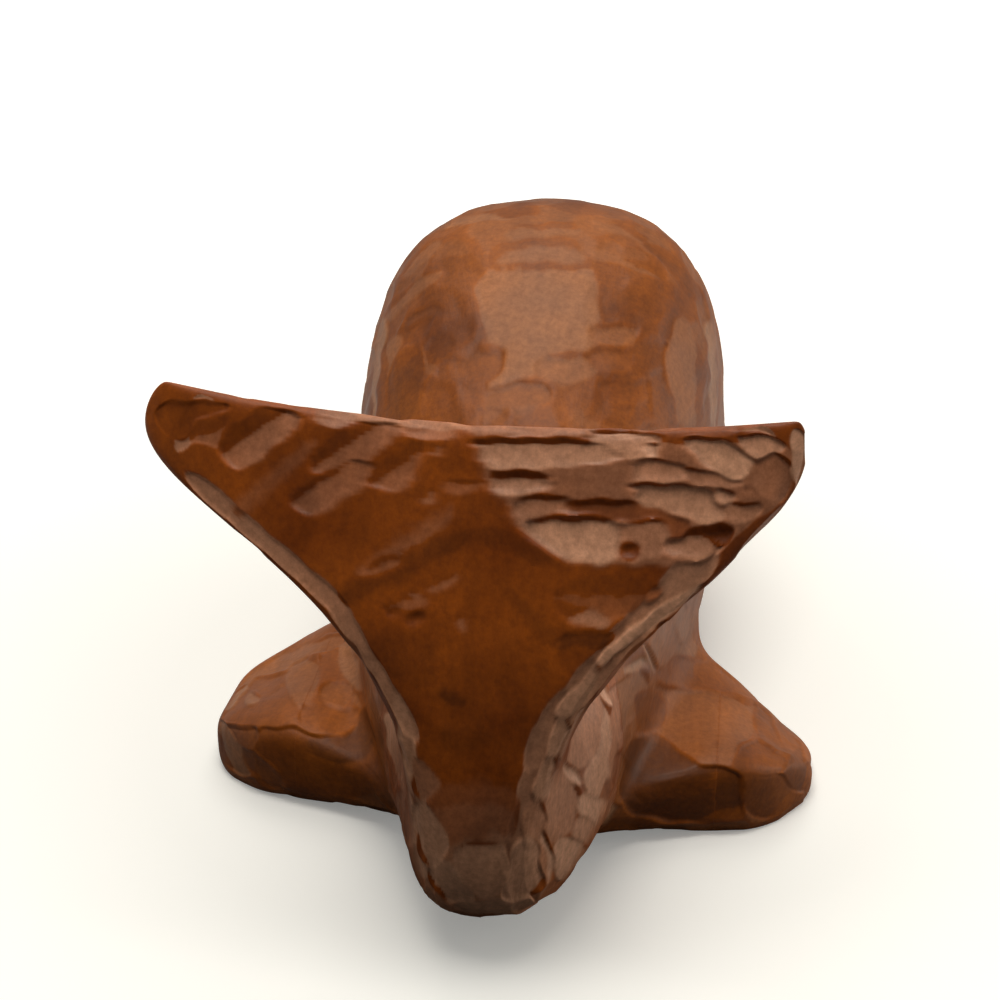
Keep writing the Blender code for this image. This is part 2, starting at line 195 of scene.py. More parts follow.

# Cuts whose outline the photograph shows. Each is (direction of its deep side in degrees, where its
# deepest line is between the shallow side and the deep one, depth in mm, finish, outline as X, Y, X, Y and
# so on in pixels of the photograph). One that has only a finish and an outline doesn't cut. The finish
# goes from -1, dark with wax, to 1, bare, and it also paints light and shade: lit facets, highlights and
# sheen are painted pale, and places in shade are painted dark. A later one goes over an earlier one.
# On the right fluke the pale finishes paint light: the floors of the scoops that face up are painted as lit
# and sheened, the thin band along the trailing edge is painted as lit, and a few are set dark as shade.
RIGHT_FLUKE_CUTS = (
    (90, 0.9, 0.12, 0.32, (480, 448, 482, 462, 490, 484, 510, 502, 516, 522, 527, 533, 555, 552, 590, 562,
     662, 565, 712, 560, 740, 530, 770, 510, 792, 488, 793, 436, 700, 428, 560, 438)),
    (90, 0.8, 0.88, 0.72, (472, 438, 530, 437, 582, 441, 612, 450, 628, 457, 612, 461, 540, 469, 498, 470,
     486, 468, 481, 458, 480, 448)),
    (90, 0.67, 0.85, 0.63, (491, 473, 505, 470, 538, 471, 544, 475, 549, 485, 545, 490, 502, 498, 493, 491,
     490, 482)),
    (90, 0.82, 0.77, 0.45, (511, 500, 545, 494, 556, 495, 565, 499, 568, 504, 567, 510, 560, 515, 535, 521,
     525, 529, 518, 523)),
    (90, 0.85, 0.77, 0.09, (566, 503, 580, 500, 600, 499, 630, 501, 680, 518, 691, 527, 680, 538, 668, 540,
     664, 524, 640, 520, 620, 522, 600, 516, 568, 513)),
    (90, 0.85, 1.2, 0.85, (528, 524, 540, 518, 570, 514, 600, 517, 613, 522, 619, 530, 618, 556, 612, 562,
     600, 564, 580, 562, 565, 558, 535, 541, 523, 531)),
    (90, 0.92, 0.68, 0.45, (619, 527, 628, 526, 640, 521, 655, 520, 665, 523, 668, 535, 666, 546, 660, 556,
     630, 562, 620, 560)),
    (90, 0.67, 0.77, -0.2, (620, 543, 630, 543, 638, 550, 636, 559, 623, 559)),
    (90, 0.67, 1.11, 0.54, (665, 545, 672, 541, 682, 539, 690, 531, 697, 527, 710, 526, 722, 530, 728, 538,
     716, 557, 705, 561, 690, 561, 668, 552)),
    (90, 0.57, 0.95, -0.6, (698, 526, 712, 523, 726, 525, 736, 530, 721, 551)),
    (90, 0.91, 1.11, 0.72, (630, 484, 650, 483, 705, 489, 714, 494, 713, 503, 727, 519, 715, 524, 700, 523,
     675, 512, 645, 506, 636, 500, 640, 492)),
    (90, 0.89, 0.77, 0.54, (650, 458, 662, 460, 684, 469, 691, 474, 687, 480, 675, 483, 640, 481, 630, 478,
     632, 468, 640, 462)),
    (90, 0.87, 0.59, 0.45, (683, 468, 700, 470, 722, 479, 746, 484, 735, 488, 700, 487, 690, 481)),
    (90, 0.92, 0.77, 0.68, (600, 428, 630, 429, 652, 435, 659, 440, 659, 450, 654, 458, 640, 459, 625, 457,
     588, 440, 590, 432)),
    (60, 0.87, 0.77, 0.9, (645, 447, 650, 443, 657, 442, 658, 450, 654, 458, 647, 458)),
    (90, 0.92, 1.03, 0.9, (686, 438, 700, 436, 715, 439, 727, 444, 745, 458, 753, 462, 752, 471, 745, 478,
     735, 480, 722, 476, 712, 470, 688, 446)),
    (90, 0.92, 0.77, 0.72, (738, 437, 750, 434, 762, 435, 787, 444, 782, 451, 775, 456, 765, 459, 752, 459,
     744, 452)),
    (50, 0.92, 0.85, 0.36, (752, 463, 775, 455, 785, 458, 792, 465, 793, 476, 790, 489, 785, 499, 775, 503,
     765, 500, 757, 492, 752, 480)),
    (60, 0.87, 0.68, 0.72, (715, 493, 722, 489, 730, 490, 736, 497, 730, 505, 722, 506, 716, 501)),
    (90, 0.87, 0.51, 0.5, (727, 506, 745, 502, 758, 505, 763, 512, 750, 521, 738, 523, 728, 518, 721, 511)),
    (0, 0.92, 0.51, 0.9, (793, 430, 803, 431, 809, 440, 811, 452, 808, 466, 794, 488, 792, 445)),
    (90, 0.6, 0.3, 0.12, (551, 602, 560, 590, 575, 582, 600, 575, 625, 572, 645, 578, 650, 590, 645, 600,
     630, 613, 600, 629, 588, 630, 575, 623)),
    (90, 0.9, 0.35, 0.15, (645, 599, 650, 590, 657, 585, 663, 590, 658, 598, 650, 602)),
    (90, 0.84, 0.3, -1, (554, 645, 562, 637, 580, 630, 605, 631, 613, 636, 608, 645, 596, 650, 580, 643,
     560, 651)),
    (110, 0.5, 0.35, 0.5, (548, 601, 565, 605, 585, 609, 600, 615, 613, 622, 602, 629, 586, 626, 570, 618,
     556, 609)),
    (0.32, (470, 424, 580, 427, 601, 430, 592, 436, 520, 434, 480, 435, 470, 431)),
    (0.45, (330, 411, 420, 421, 470, 424, 470, 430, 420, 427, 330, 416)),
)
# On the left fluke the floors of the scoops are painted paler as lit, and the rows with only a finish lay
# darker and lighter streaks over the smooth face.
LEFT_FLUKE_CUTS = (
    (0.16, (355, 573, 372, 560, 395, 545, 420, 528, 440, 515, 452, 510, 448, 522, 430, 538, 405, 556, 385,
     570, 365, 582)),
    (0.12, (228, 512, 250, 492, 280, 465, 305, 445, 318, 437, 312, 450, 290, 472, 262, 497, 240, 517)),
    (-0.7, (338, 597, 350, 585, 375, 575, 400, 562, 420, 548, 445, 536, 470, 530, 482, 536, 465, 545, 440,
     556, 415, 572, 390, 585, 365, 597, 348, 605)),
    (-0.6, (470, 530, 500, 528, 520, 535, 545, 555, 560, 565, 545, 568, 520, 556, 495, 545, 475, 541)),
    (-0.5, (505, 590, 515, 592, 540, 618, 562, 645, 556, 650, 530, 625, 508, 602)),
    (-0.4, (438, 728, 492, 730, 490, 750, 440, 750)),
    (-0.9, (438, 690, 452, 691, 466, 702, 460, 709, 448, 701, 439, 697)),
    (-0.35, (370, 640, 385, 625, 420, 640, 440, 650, 430, 690, 400, 680, 380, 665)),
    (90, 0.85, 0.33, -0.3, (160, 408, 168, 402, 185, 399, 218, 402, 229, 408, 220, 414, 205, 418, 195, 424,
     188, 435, 180, 440, 166, 436, 158, 425, 156, 415)),
    (110, 0.5, 0.26, 0.23, (192, 425, 200, 418, 225, 412, 229, 420, 218, 438, 223, 448, 212, 447, 200, 442,
     188, 440)),
    (125, 0.58, 0.89, 0.33, (217, 444, 225, 430, 250, 413, 265, 409, 280, 409, 292, 413, 299, 420, 292, 431,
     268, 449, 262, 458, 250, 465, 238, 468, 228, 463)),
    (125, 0.6, 0.62, 0.25, (312, 470, 318, 452, 325, 440, 338, 430, 355, 423, 380, 423, 399, 427, 401, 433,
     390, 441, 372, 459, 348, 463, 335, 471, 322, 476)),
    (125, 0.75, 0.62, 0.23, (289, 490, 350, 462, 362, 462, 372, 465, 376, 475, 365, 485, 338, 501, 330, 510,
     318, 514, 302, 512, 292, 504)),
    (125, 0.55, 0.58, 0.23, (369, 479, 375, 468, 398, 445, 412, 437, 419, 442, 420, 455, 409, 485, 400, 491,
     385, 489, 374, 485)),
    (135, 0.5, 0.22, 0.28, (423, 485, 430, 487, 434, 500, 430, 505, 424, 504, 421, 495)),
    (90, 0.7, 0.22, 0.14, (440, 487, 455, 480, 475, 478, 484, 485, 470, 493, 450, 494)),
    (135, 0.5, 0.22, 0.25, (426, 443, 435, 446, 442, 455, 433, 454)),
    (110, 0.7, 0.21, 0.17, (364, 569, 378, 560, 395, 554, 406, 560, 398, 569, 385, 574, 370, 577)),
    (110, 0.7, 0.21, 0.23, (426, 589, 440, 579, 452, 575, 460, 579, 436, 593)),
    (110, 0.6, 0.21, 0.33, (407, 599, 410, 589, 415, 587, 420, 596, 416, 605)),
    (110, 0.6, 0.21, 0.17, (376, 604, 390, 599, 408, 598, 428, 600, 424, 607, 385, 611)),
    (100, 0.6, 0.1, 0.23, (454, 618, 460, 612, 464, 618, 465, 632, 459, 630)),
)
# On the back the finish paints light and shade: a painted highlight on the broad lit patch on top, painted
# sheen in the strips along the left and right edges, and painted shade on the darker sides beside the patch.
DOME_CUTS = (
    (-0.28, (424, 270, 444, 258, 470, 255, 486, 258, 482, 276, 476, 290, 484, 330, 476, 345, 434, 364, 424,
     350, 418, 290)),
    (-0.22, (594, 256, 615, 260, 640, 268, 668, 280, 684, 296, 683, 315, 676, 335, 655, 338, 630, 336, 612,
     326, 602, 318, 603, 295)),
    (-0.18, (596, 352, 640, 345, 678, 350, 684, 426, 600, 426, 592, 390)),
    (-0.2, (384, 395, 420, 370, 470, 392, 484, 405, 480, 428, 384, 428)),
    (0.45, (476, 282, 484, 274, 496, 268, 496, 347, 486, 336, 483, 312, 476, 299)),
    (90, 0.8, 0.32, 0.5, (488, 264, 490, 252, 498, 245, 515, 241, 570, 238, 577, 242, 580, 252, 592, 258,
     600, 318, 592, 323, 588, 330, 595, 340, 590, 348, 575, 352, 560, 352, 545, 355, 536, 362, 535, 372,
     525, 377, 495, 383, 487, 388, 499, 375, 504, 352, 500, 345, 488, 341, 475, 285, 484, 280, 490, 272)),
    (0.42, (490, 263, 505, 252, 530, 247, 560, 246, 580, 250, 588, 260, 575, 262, 540, 259)),
    (0.52, (520, 300, 535, 290, 555, 284, 575, 290, 590, 300, 598, 315, 590, 326, 588, 340, 570, 348, 545,
     350, 525, 346, 510, 335, 508, 315)),
    (80, 0.6, 0.28, 0.47, (438, 225, 455, 217, 537, 204, 538, 211, 520, 215, 470, 220, 450, 227)),
    (90, 0.7, 0.32, 0.41, (506, 228, 545, 223, 570, 224, 580, 228, 575, 233, 520, 235, 508, 238)),
    (60, 0.7, 0.28, 0.3, (588, 219, 622, 225, 640, 231, 650, 238, 640, 239, 602, 228)),
    (60, 0.7, 0.35, 0.3, (588, 250, 600, 250, 650, 264, 668, 274, 660, 279, 642, 270, 620, 262, 600, 259)),
    (50, 0.7, 0.35, -0.4, (643, 242, 655, 244, 670, 252, 687, 268, 698, 284, 706, 300, 698, 299, 668, 263)),
    (180, 0.6, 0.35, 0.8, (360, 424, 363, 385, 370, 350, 379, 320, 387, 316, 377, 380, 373, 424)),
    (180, 0.6, 0.28, 0.39, (373, 424, 382, 345, 392, 338, 404, 336, 389, 365, 384, 424)),
    (120, 0.8, 0.42, -0.55, (384, 424, 389, 365, 396, 352, 404, 346, 415, 342, 421, 350, 421, 375, 411,
     424)),
    (110, 0.8, 0.42, -0.5, (403, 323, 410, 310, 425, 304, 441, 306, 443, 312, 418, 319, 409, 326)),
    (140, 0.7, 0.28, 0.33, (381, 316, 390, 298, 405, 287, 440, 268, 444, 273, 398, 308, 390, 322)),
    (140, 0.7, 0.28, 0.28, (400, 268, 412, 255, 428, 245, 440, 240, 442, 246, 406, 277)),
    (90, 0.84, 0.66, -0.3, (435, 369, 445, 360, 455, 356, 462, 359, 478, 346, 485, 343, 496, 345, 504, 352,
     504, 362, 500, 372, 490, 380, 478, 384, 445, 383, 438, 377)),
    (90, 0.86, 0.59, 0.17, (483, 395, 492, 388, 500, 389, 525, 378, 538, 378, 554, 397, 535, 406, 500, 408,
     488, 404)),
    (90, 0.84, 0.42, 0.36, (536, 364, 545, 356, 560, 352, 580, 352, 592, 356, 601, 362, 597, 373, 585, 381,
     565, 384, 548, 380, 537, 374)),
    (90, 0.86, 0.49, 0.25, (587, 330, 600, 322, 632, 322, 641, 330, 632, 345, 605, 346, 596, 341)),
    (90, 0.86, 0.56, 0.05, (583, 357, 595, 348, 605, 345, 632, 347, 637, 358, 632, 369, 620, 373, 605,
     372)),
    (90, 0.8, 0.4, -0.3, (633, 348, 640, 337, 650, 334, 671, 345, 668, 358, 662, 369, 650, 373, 640, 369)),
    (90, 0.86, 0.56, 0, (596, 381, 610, 379, 620, 383, 640, 376, 651, 381, 651, 395, 640, 403, 620, 406,
     605, 400)),
    (20, 0.8, 0.42, -0.35, (652, 376, 662, 368, 672, 380, 678, 400, 680, 425, 658, 425, 652, 400)),
    (0, 0.8, 0.35, 0.36, (664, 366, 674, 330, 682, 312, 701, 350, 707, 380, 703, 400, 704, 426, 681, 426,
     677, 400, 671, 380)),
    (0, 0.6, 0.35, 0.8, (712, 426, 713, 380, 710, 350, 705, 325, 712, 320, 721, 335, 726, 360, 727, 426)),
)
# On the flank beside the tail the high finish paints the greyish sheen of grazing light as well as bare
# wood.
FLANK_CUTS = (
    (20, 0.93, 0.45, 0.4, (672, 605, 700, 587, 705, 590, 695, 625, 695, 640, 699, 652, 690, 657, 675, 657,
     662, 669, 656, 662, 652, 648, 655, 635)),
    (30, 0.93, 0.36, 0.49, (676, 610, 684, 604, 692, 606, 688, 640, 680, 640)),
    (30, 0.93, 0.54, 0.4, (605, 700, 625, 680, 650, 667, 653, 680, 645, 700, 622, 735, 611, 790, 608, 770,
     614, 720)),
    (20, 0.93, 0.54, 0.55, (590, 698, 600, 684, 606, 690, 609, 705, 603, 745, 592, 762, 580, 772, 563, 762,
     561, 750)),
    (30, 0.93, 0.54, 0.85, (607, 700, 613, 705, 612, 745, 607, 780, 600, 803, 590, 800, 586, 780, 592, 764,
     603, 748, 607, 725)),
    (20, 0.93, 0.54, 0.55, (553, 784, 560, 771, 566, 765, 575, 775, 581, 787, 582, 800, 579, 815, 572, 830,
     560, 841, 550, 840, 545, 830)),
    (20, 0.93, 0.45, 0.2, (611, 780, 620, 752, 630, 756, 629, 785, 622, 802, 611, 802)),
    (40, 0.93, 0.45, 0.98, (583, 790, 600, 802, 620, 801, 612, 820, 600, 827, 588, 822, 580, 810)),
    (20, 0.93, 0.36, 0.72, (582, 815, 595, 825, 604, 828, 592, 843, 580, 843, 570, 838)),
    (20, 0.93, 0.45, 1, (541, 838, 547, 830, 556, 860, 553, 878, 545, 886, 540, 868, 539, 850)),
    (20, 0.93, 0.45, 1, (556, 843, 570, 839, 585, 843, 591, 847, 570, 874, 560, 882, 556, 868)),
    (60, 0.9, 0.81, 1, (600, 683, 606, 680, 614, 705, 608, 703)),
    (70, 0.9, 0.81, 0.85, (621, 673, 649, 655, 652, 660, 643, 667, 631, 672)),
    (20, 0.9, 0.81, 0.6, (645, 645, 649, 643, 652, 655, 659, 668, 655, 671, 648, 657)),
    (60, 0.9, 0.72, 1, (563, 763, 568, 761, 586, 782, 579, 788)),
)
# The chamfers along the rims of the tail's backward face are set pale, painting their sheen as well as bare
# wood.
RIM_CUTS = (
    (20, 0.95, 0.4, 0.95, (605, 650, 665, 606, 706, 582, 708, 586, 625, 648, 602, 668, 596, 664)),
    (20, 0.95, 0.48, 0.85, (566, 697, 580, 690, 588, 680, 596, 664, 603, 668, 584, 706, 572, 718, 557, 722,
     558, 710)),
    (20, 0.95, 0.48, 0.85, (556, 722, 574, 719, 560, 756, 545, 762, 551, 745)),
    (20, 0.95, 0.48, 0.8, (543, 763, 559, 758, 553, 778, 549, 800, 531, 802)),
    (20, 0.95, 0.48, 0.55, (530, 803, 549, 801, 541, 850, 520, 842)),
    (200, 0.95, 0.4, 1, (401, 795, 408, 788, 420, 858, 429, 875, 422, 881, 410, 868, 403, 850, 400, 820)),
    (200, 0.9, 0.3, 0.9, (383, 715, 392, 716, 409, 790, 401, 793, 392, 768, 386, 742)),
    (0.75, (392, 690, 402, 700, 412, 730, 417, 760, 418, 795, 408, 793, 404, 765, 398, 735)),
)
# Under the tail the finish grows paler towards the bottom, painting the reflection of the pale floor as well
# as bare wood.
STOCK_CUTS = (
    (0.1, (420, 792, 450, 786, 490, 784, 520, 792, 520, 842, 440, 852)),
    (0.22, (424, 812, 450, 806, 490, 804, 516, 812, 514, 842, 440, 852)),
    (0.5, (422, 866, 440, 852, 460, 843, 485, 838, 532, 838, 547, 850, 550, 886, 532, 915, 500, 923, 468,
     922, 436, 905)),
    (200, 0.92, 0.4, 0.4, (411, 755, 432, 773, 441, 786, 432, 796, 420, 801, 412, 790)),
    (200, 0.92, 0.6, 0.9, (410, 801, 425, 807, 440, 823, 451, 840, 441, 860, 426, 869, 419, 858, 414, 835)),
    (220, 0.92, 0.6, 1, (424, 871, 440, 858, 455, 868, 477, 899, 460, 904, 445, 899, 432, 886)),
    (270, 0.92, 0.6, 1, (453, 906, 480, 901, 536, 899, 531, 912, 500, 919, 475, 919, 462, 913)),
    (330, 0.92, 0.7, 0.9, (513, 851, 520, 841, 528, 838, 541, 850, 541, 868, 546, 886, 535, 899, 515, 901,
     501, 899, 510, 880)),
    (90, 0.92, 0.2, 0.85, (455, 850, 480, 840, 500, 845, 510, 860, 508, 880, 498, 898, 478, 898, 466, 884,
     452, 862)),
)
# On the left flipper the first cut and the dark row below its top paint shade on the rear side, the last row
# near the tail paints light, and the pale strip and end paint sheen.
LEFT_FLIPPER_CUTS = (
    (250, 0.3, 0.9, -1, (254, 728, 285, 727, 300, 729, 312, 735, 335, 737, 352, 730, 358, 715, 368, 702,
     380, 740, 394, 800, 285, 790, 272, 767, 258, 757)),
    (100, 0.95, 0.47, 0.28, (232, 697, 245, 680, 262, 664, 310, 641, 335, 632, 347, 634, 340, 645, 320, 650,
     300, 658, 285, 668, 250, 680, 238, 693)),
    (100, 0.95, 0.56, 0.04, (232, 702, 254, 680, 262, 675, 283, 669, 287, 680, 288, 695, 293, 705, 300, 713,
     300, 724, 270, 727, 250, 723, 230, 722, 222, 719)),
    (60, 0.9, 0.56, 0.28, (286, 672, 292, 663, 310, 654, 319, 657, 319, 675, 315, 690, 309, 700, 302, 707,
     295, 702, 287, 682)),
    (80, 0.8, 0.47, 0.02, (319, 657, 330, 650, 345, 646, 362, 668, 371, 685, 366, 692, 352, 690, 345, 679,
     330, 680, 320, 688)),
    (80, 0.9, 0.47, 0.18, (320, 690, 330, 681, 345, 679, 353, 688, 345, 706, 332, 706, 325, 700)),
    (80, 0.9, 0.56, 0.04, (300, 709, 310, 701, 345, 709, 353, 703, 359, 711, 354, 725, 346, 731, 330, 735,
     312, 732, 302, 728, 299, 718)),
    (60, 0.8, 0.37, 0.44, (246, 699, 249, 690, 256, 690, 257, 698, 250, 703)),
    (140, 0.8, 0.37, 0.64, (224, 710, 228, 702, 243, 684, 246, 688, 230, 707)),
    (200, 0.8, 0.56, 0.56, (217, 722, 224, 722, 229, 735, 239, 748, 252, 757, 256, 773, 245, 777, 230, 769,
     219, 758, 216, 740)),
    (230, 0.8, 0.47, 0.08, (239, 748, 252, 751, 259, 758, 272, 766, 283, 779, 281, 791, 262, 787, 252,
     776)),
    (90, 0.8, 0.66, 0.1, (226, 724, 240, 723, 254, 727, 255, 740, 252, 753, 240, 747, 231, 737)),
    (-1, (308, 737, 335, 739, 352, 732, 364, 722, 370, 750, 350, 764, 320, 759, 304, 749)),
    (0.6, (338, 640, 356, 645, 368, 668, 371, 685, 362, 690, 348, 682, 340, 660)),
)
# On the right flipper the dark finishes paint shade on its rear face, its inner side near the tail and its
# outer end.
RIGHT_FLIPPER_CUTS = (
    (290, 0.9, 0.9, -0.7, (632, 738, 650, 734, 662, 738, 700, 765, 728, 769, 741, 776, 743, 800, 741, 822,
     700, 825, 640, 818, 622, 806, 626, 770)),
    (80, 0.9, 0.37, 0.04, (662, 672, 675, 657, 700, 655, 750, 690, 765, 703, 757, 704, 745, 696, 720, 692,
     670, 690, 660, 682)),
    (70, 0.95, 0.66, 0.26, (657, 681, 670, 690, 690, 690, 745, 695, 756, 702, 757, 715, 753, 735, 742, 738,
     736, 745, 734, 755, 728, 765, 712, 766, 690, 757, 660, 732, 650, 731, 655, 715)),
    (60, 0.9, 0.47, -0.35, (757, 702, 765, 705, 773, 714, 776, 727, 786, 740, 797, 748, 791, 753, 775, 750,
     757, 737)),
    (60, 0.9, 0.56, -0.3, (758, 739, 765, 745, 773, 748, 776, 753, 791, 753, 793, 758, 786, 769, 775, 776,
     762, 776, 745, 773, 735, 766, 738, 755, 743, 746)),
    (20, 0.9, 0.37, -0.1, (775, 718, 781, 721, 799, 740, 801, 747, 795, 749, 785, 741, 777, 731)),
    (350, 0.8, 0.5, -0.7, (790, 754, 798, 747, 804, 755, 813, 780, 809, 791, 799, 793, 788, 786, 785, 773)),
    (320, 0.8, 0.47, -0.4, (741, 774, 765, 777, 785, 775, 788, 786, 799, 793, 802, 800, 785, 811, 765, 819,
     750, 817, 743, 795)),
    (-1, (630, 742, 650, 739, 665, 745, 705, 768, 704, 786, 640, 786, 628, 765)),
    (-0.5, (638, 700, 648, 690, 660, 694, 668, 706, 666, 722, 652, 730, 640, 724)),
)
SEEN_CUTS = (
    RIGHT_FLUKE_CUTS + LEFT_FLUKE_CUTS + DOME_CUTS + FLANK_CUTS + RIM_CUTS + STOCK_CUTS
    + LEFT_FLIPPER_CUTS + RIGHT_FLIPPER_CUTS
)

# Cuts with an outline: how wide their border is, how far they run over each other and how much their
# outlines waver, all in pixels of the photograph. Then how fast they waver, and how far and how slowly
# that drifts.
BORDER = 2.5
OVERLAP = 2.5
WAVER = 1.1
WAVE = 0.19
WAVE_DRIFT = 3
WAVE_SLOWER = 3

# How much of a side is cut off at each corner of an outline, and how often.
CORNER_CUT = 0.25
CORNER_ROUNDS = 2

# Cuts with an outline: how far they reach before and behind their middle, how much they keep of the
# strokes under them, how squarely the skin has to face the camera, over how much more of that they fade
# in, and the finish of their steep side, darker as wax and as painted shade on that wall.
CUT_REACH = 0.025
CUT_KEEPS = 0.3
CUT_FACING = 0.08
CUT_FADE = 0.15
WALL_FINISH_AND_SHADE = -0.12

# Strokes along the rims of the tail's backward face: their depth for each ring point, how far apart they
# are, the steps in which they are laid out, their half length in gaps, their half width in depths, how
# flat their floor is and their finish.
RIM_DEPTHS = {10: 0.0005, 14: 0.0009}
RIM_SPACING = 0.0075
RIM_STEP = 0.0005
RIM_LENGTH = 0.9
RIM_WIDTH = 4
RIM_POWER = 6.0
RIM_FINISH = 0.6

# Strokes that cover the rest of the skin: how far apart they are, their half length, half width and
# depth, each as lowest and highest, the way of the blade, how much their direction and their slant vary,
# in degrees, and how much of the finish they take off at most.
Cover = namedtuple("Cover", "spacing length width depth way spread slant raw")
COVERS = {
    "trunk": Cover(
        0.0062, (0.0070, 0.0120), (0.0036, 0.0060), (0.00035, 0.00065), (0.0, 1.0, 0.25), 22, 4.5, 0.25),
    "crown": Cover(
        0.0070, (0.0080, 0.0120), (0.0045, 0.0070), (0.00025, 0.00055), (0.0, 1.0, 0.3), 60, 4.0, 0.25),
    "tail": Cover(
        0.0058, (0.0060, 0.0100), (0.0032, 0.0050), (0.00030, 0.00055), (0.2, 0.0, 1.0), 25, 4.5, 0.30),
    "broad_face": Cover(
        0.0085, (0.0080, 0.0140), (0.0045, 0.0070), (0.00006, 0.00016), (0.3, 0.0, 1.0), 30, 1.0, 0.0),
    "flipper": Cover(
        0.0095, (0.0090, 0.0140), (0.0070, 0.0100), (0.00030, 0.00060), (1.0, -0.2, 0.0), 40, 5.0, 0.25),
}
COVER_LEAN = 0.5
COVER_SKEW = 0.6
COVER_POWER = 4.0
SEED = 7

# How far out on the tail the blade goes as outward as its cover says.
TAIL_FAN = 0.05

# Where each kind of stroke goes: the inner side, top and ends of a flipper, the start of the tail, how
# far back its broad face looks and where that starts, and the height of the crown.
FLIPPER_INSIDE = 0.034
FLIPPER_TOP = 0.028
FLIPPER_REAR = -0.048
FLIPPER_FRONT = 0.03
TAIL_START = -0.052
BROAD_FACING = -0.7
BROAD_FOOT = 0.012
CROWN_HEIGHT = 0.088

# Strokes that cover the skin start above this height. They keep off the pits and the strokes of the rims and
# the mouth by a share of their half length or of so many of their half widths, whichever is less.
LOWEST_STROKE = 0.0005
HAND_SHARE = 0.8
HAND_WIDTHS = 1.6

# Mouth: the heights of its front and its corners, how far round the head it goes and what it goes round,
# in how many grooves, their width and depth, their half length in runs, how flat their floor is and their
# finish.
MOUTH_FRONT = 0.150 * LENGTH
MOUTH_CORNER = 0.185 * LENGTH
MOUTH_TURN = 1.15
MOUTH_CENTRE_Y = 0.330 * LENGTH
MOUTH_STEPS = 16
MOUTH_WIDTH = 0.0016
MOUTH_DEPTH = 0.0009
MOUTH_LENGTH = 0.8
MOUTH_POWER = 1.5
MOUTH_FINISH = -0.6

# Rounds of averaging for the depths and the finish, and for the skin round a place, and the height above
# that skin that counts as 1 in the wear of the wax on ridges and the painted shade in hollows.
FINE_ROUNDS = 1
WIDE_ROUNDS = 4
WEAR_AND_SHADE_HEIGHT = 0.00008

# Woods of the trunk and the tail: how much their pattern is drawn together along X, Y and Z, least along
# the grain, and their colours under the wax and where they are bare. The bare colours also paint lit facets
# and sheen pale, and the tail's is made much paler for the lit floors of its scoops.
Wood = namedtuple("Wood", "grain waxed bare")
TRUNK_WOOD = Wood((1.0, 0.09, 1.0), (0.305, 0.078, 0.004), (0.430, 0.195, 0.090))
TAIL_WOOD = Wood((1.0, 1.0, 0.12), (0.325, 0.070, 0.002), (0.73, 0.375, 0.225))

# Patterns of the wood: how the grain bends, its bands, larger blotches, fine specks and pores.
BEND = {"Scale": 22.0, "Detail": 2.0}
BANDS = {"Scale": 300.0, "Detail": 5.0, "Roughness": 0.6}
BLOTCHES = {"Scale": 45.0, "Detail": 3.0, "Roughness": 0.55}
SPECKS = {"Scale": 800.0, "Detail": 5.0, "Roughness": 0.7}
PORES = {"Scale": 1400.0, "Detail": 2.0}
BEND_SHARE = 0.012
PORE_BUMP = {"Strength": 0.25, "Distance": 0.0002}

# Stops of the patterns' ramps: where they are, and a share of a colour or a tint.
BAND_SHADES = ((0.3, 0.86), (0.5, 1.0), (0.7, 1.15))
BLOTCH_TINTS = ((0.34, (0.66, 0.60, 0.54)), (0.66, (1.17, 1.18, 1.20)))
SPECK_TINTS = ((0.36, (0.84, 0.81, 0.78)), (0.64, (1.14, 1.14, 1.14)))

# How one range of values becomes another, as (lowest, highest, what each of them becomes): the finish,
# with its wax and its painted light and shade, to a shade, wear with its painted shade in hollows to a
# shade, and blotches to roughness.
FINISH_AND_LIGHT_TONES = (-1.0, 0.0, 0.5, 1.0)
WEAR_AND_SHADE_TONES = (-2.0, 1.5, 0.76, 1.12)
ROUGHNESSES = (0.3, 0.7, 0.42, 0.54)
WOOD_SPECULAR = 0.33

# Colour and roughness of the dowels and the eyes, and the pattern and shades of both.
PLAIN_WOODS = {"dowel": ((0.55, 0.36, 0.19), 0.6), "eye": ((0.012, 0.009, 0.008), 0.25)}
PLAIN_GRAIN = {"Scale": 900.0, "Detail": 3.0}
PLAIN_SHADES = ((0.3, 0.75), (0.7, 1.2))

# Floor: its size, its colour, and the glow that makes it white away from the whale, with its range of
# distance and strength.
FLOOR_HALF = 3.0
FLOOR_THICKNESS = 0.02
FLOOR_COLOUR = (0.93, 0.93, 0.90, 1.0)
GLOW_COLOUR = (1.0, 1.0, 0.97, 1.0)
GLOW_RANGE = (0.08, 0.32, 0.22, 0.70)

# Where the floor gives the whale least light, and its range of distance from there and colour.
DIM_PLACE = (-0.03, -0.25, 0.0)
DIM_RANGE = (0.19, 0.34, 0.04, 0.85)

# Surroundings: their colour, the direction in which they are dim, and their range of nearness to it and
# strength.
SKY_COLOUR = (1.0, 0.97, 0.90, 1.0)
SKY_DIM_WAY = (0.0, -0.985, -0.17)
SKY_RANGE = (0.75, 0.20, 0.01, 0.34)
WHITE = (1.0, 1.0, 1.0, 1.0)

# Soft square lamps: where they are, where they aim, their size and their power in watts.
Lamp = namedtuple("Lamp", "place aim size power")
LAMP_COLOUR = (1.0, 0.96, 0.88)
LAMPS = {
    "key": Lamp((-0.05, 0.26, 0.56), (0.0, 0.0, 0.03), 0.40, 0.9),
    "overhead": Lamp((-0.02, -0.16, 0.60), (0.0, -0.10, 0.0), 0.30, 1.6),
    "side": Lamp((0.47, 0.14, 0.16), (0.0, -0.03, 0.03), 0.30, 0.5),
}

# Sockets of a mix node that take and give colours.
MIX_FIRST = 6
MIX_SECOND = 7
MIX_RESULT = 2


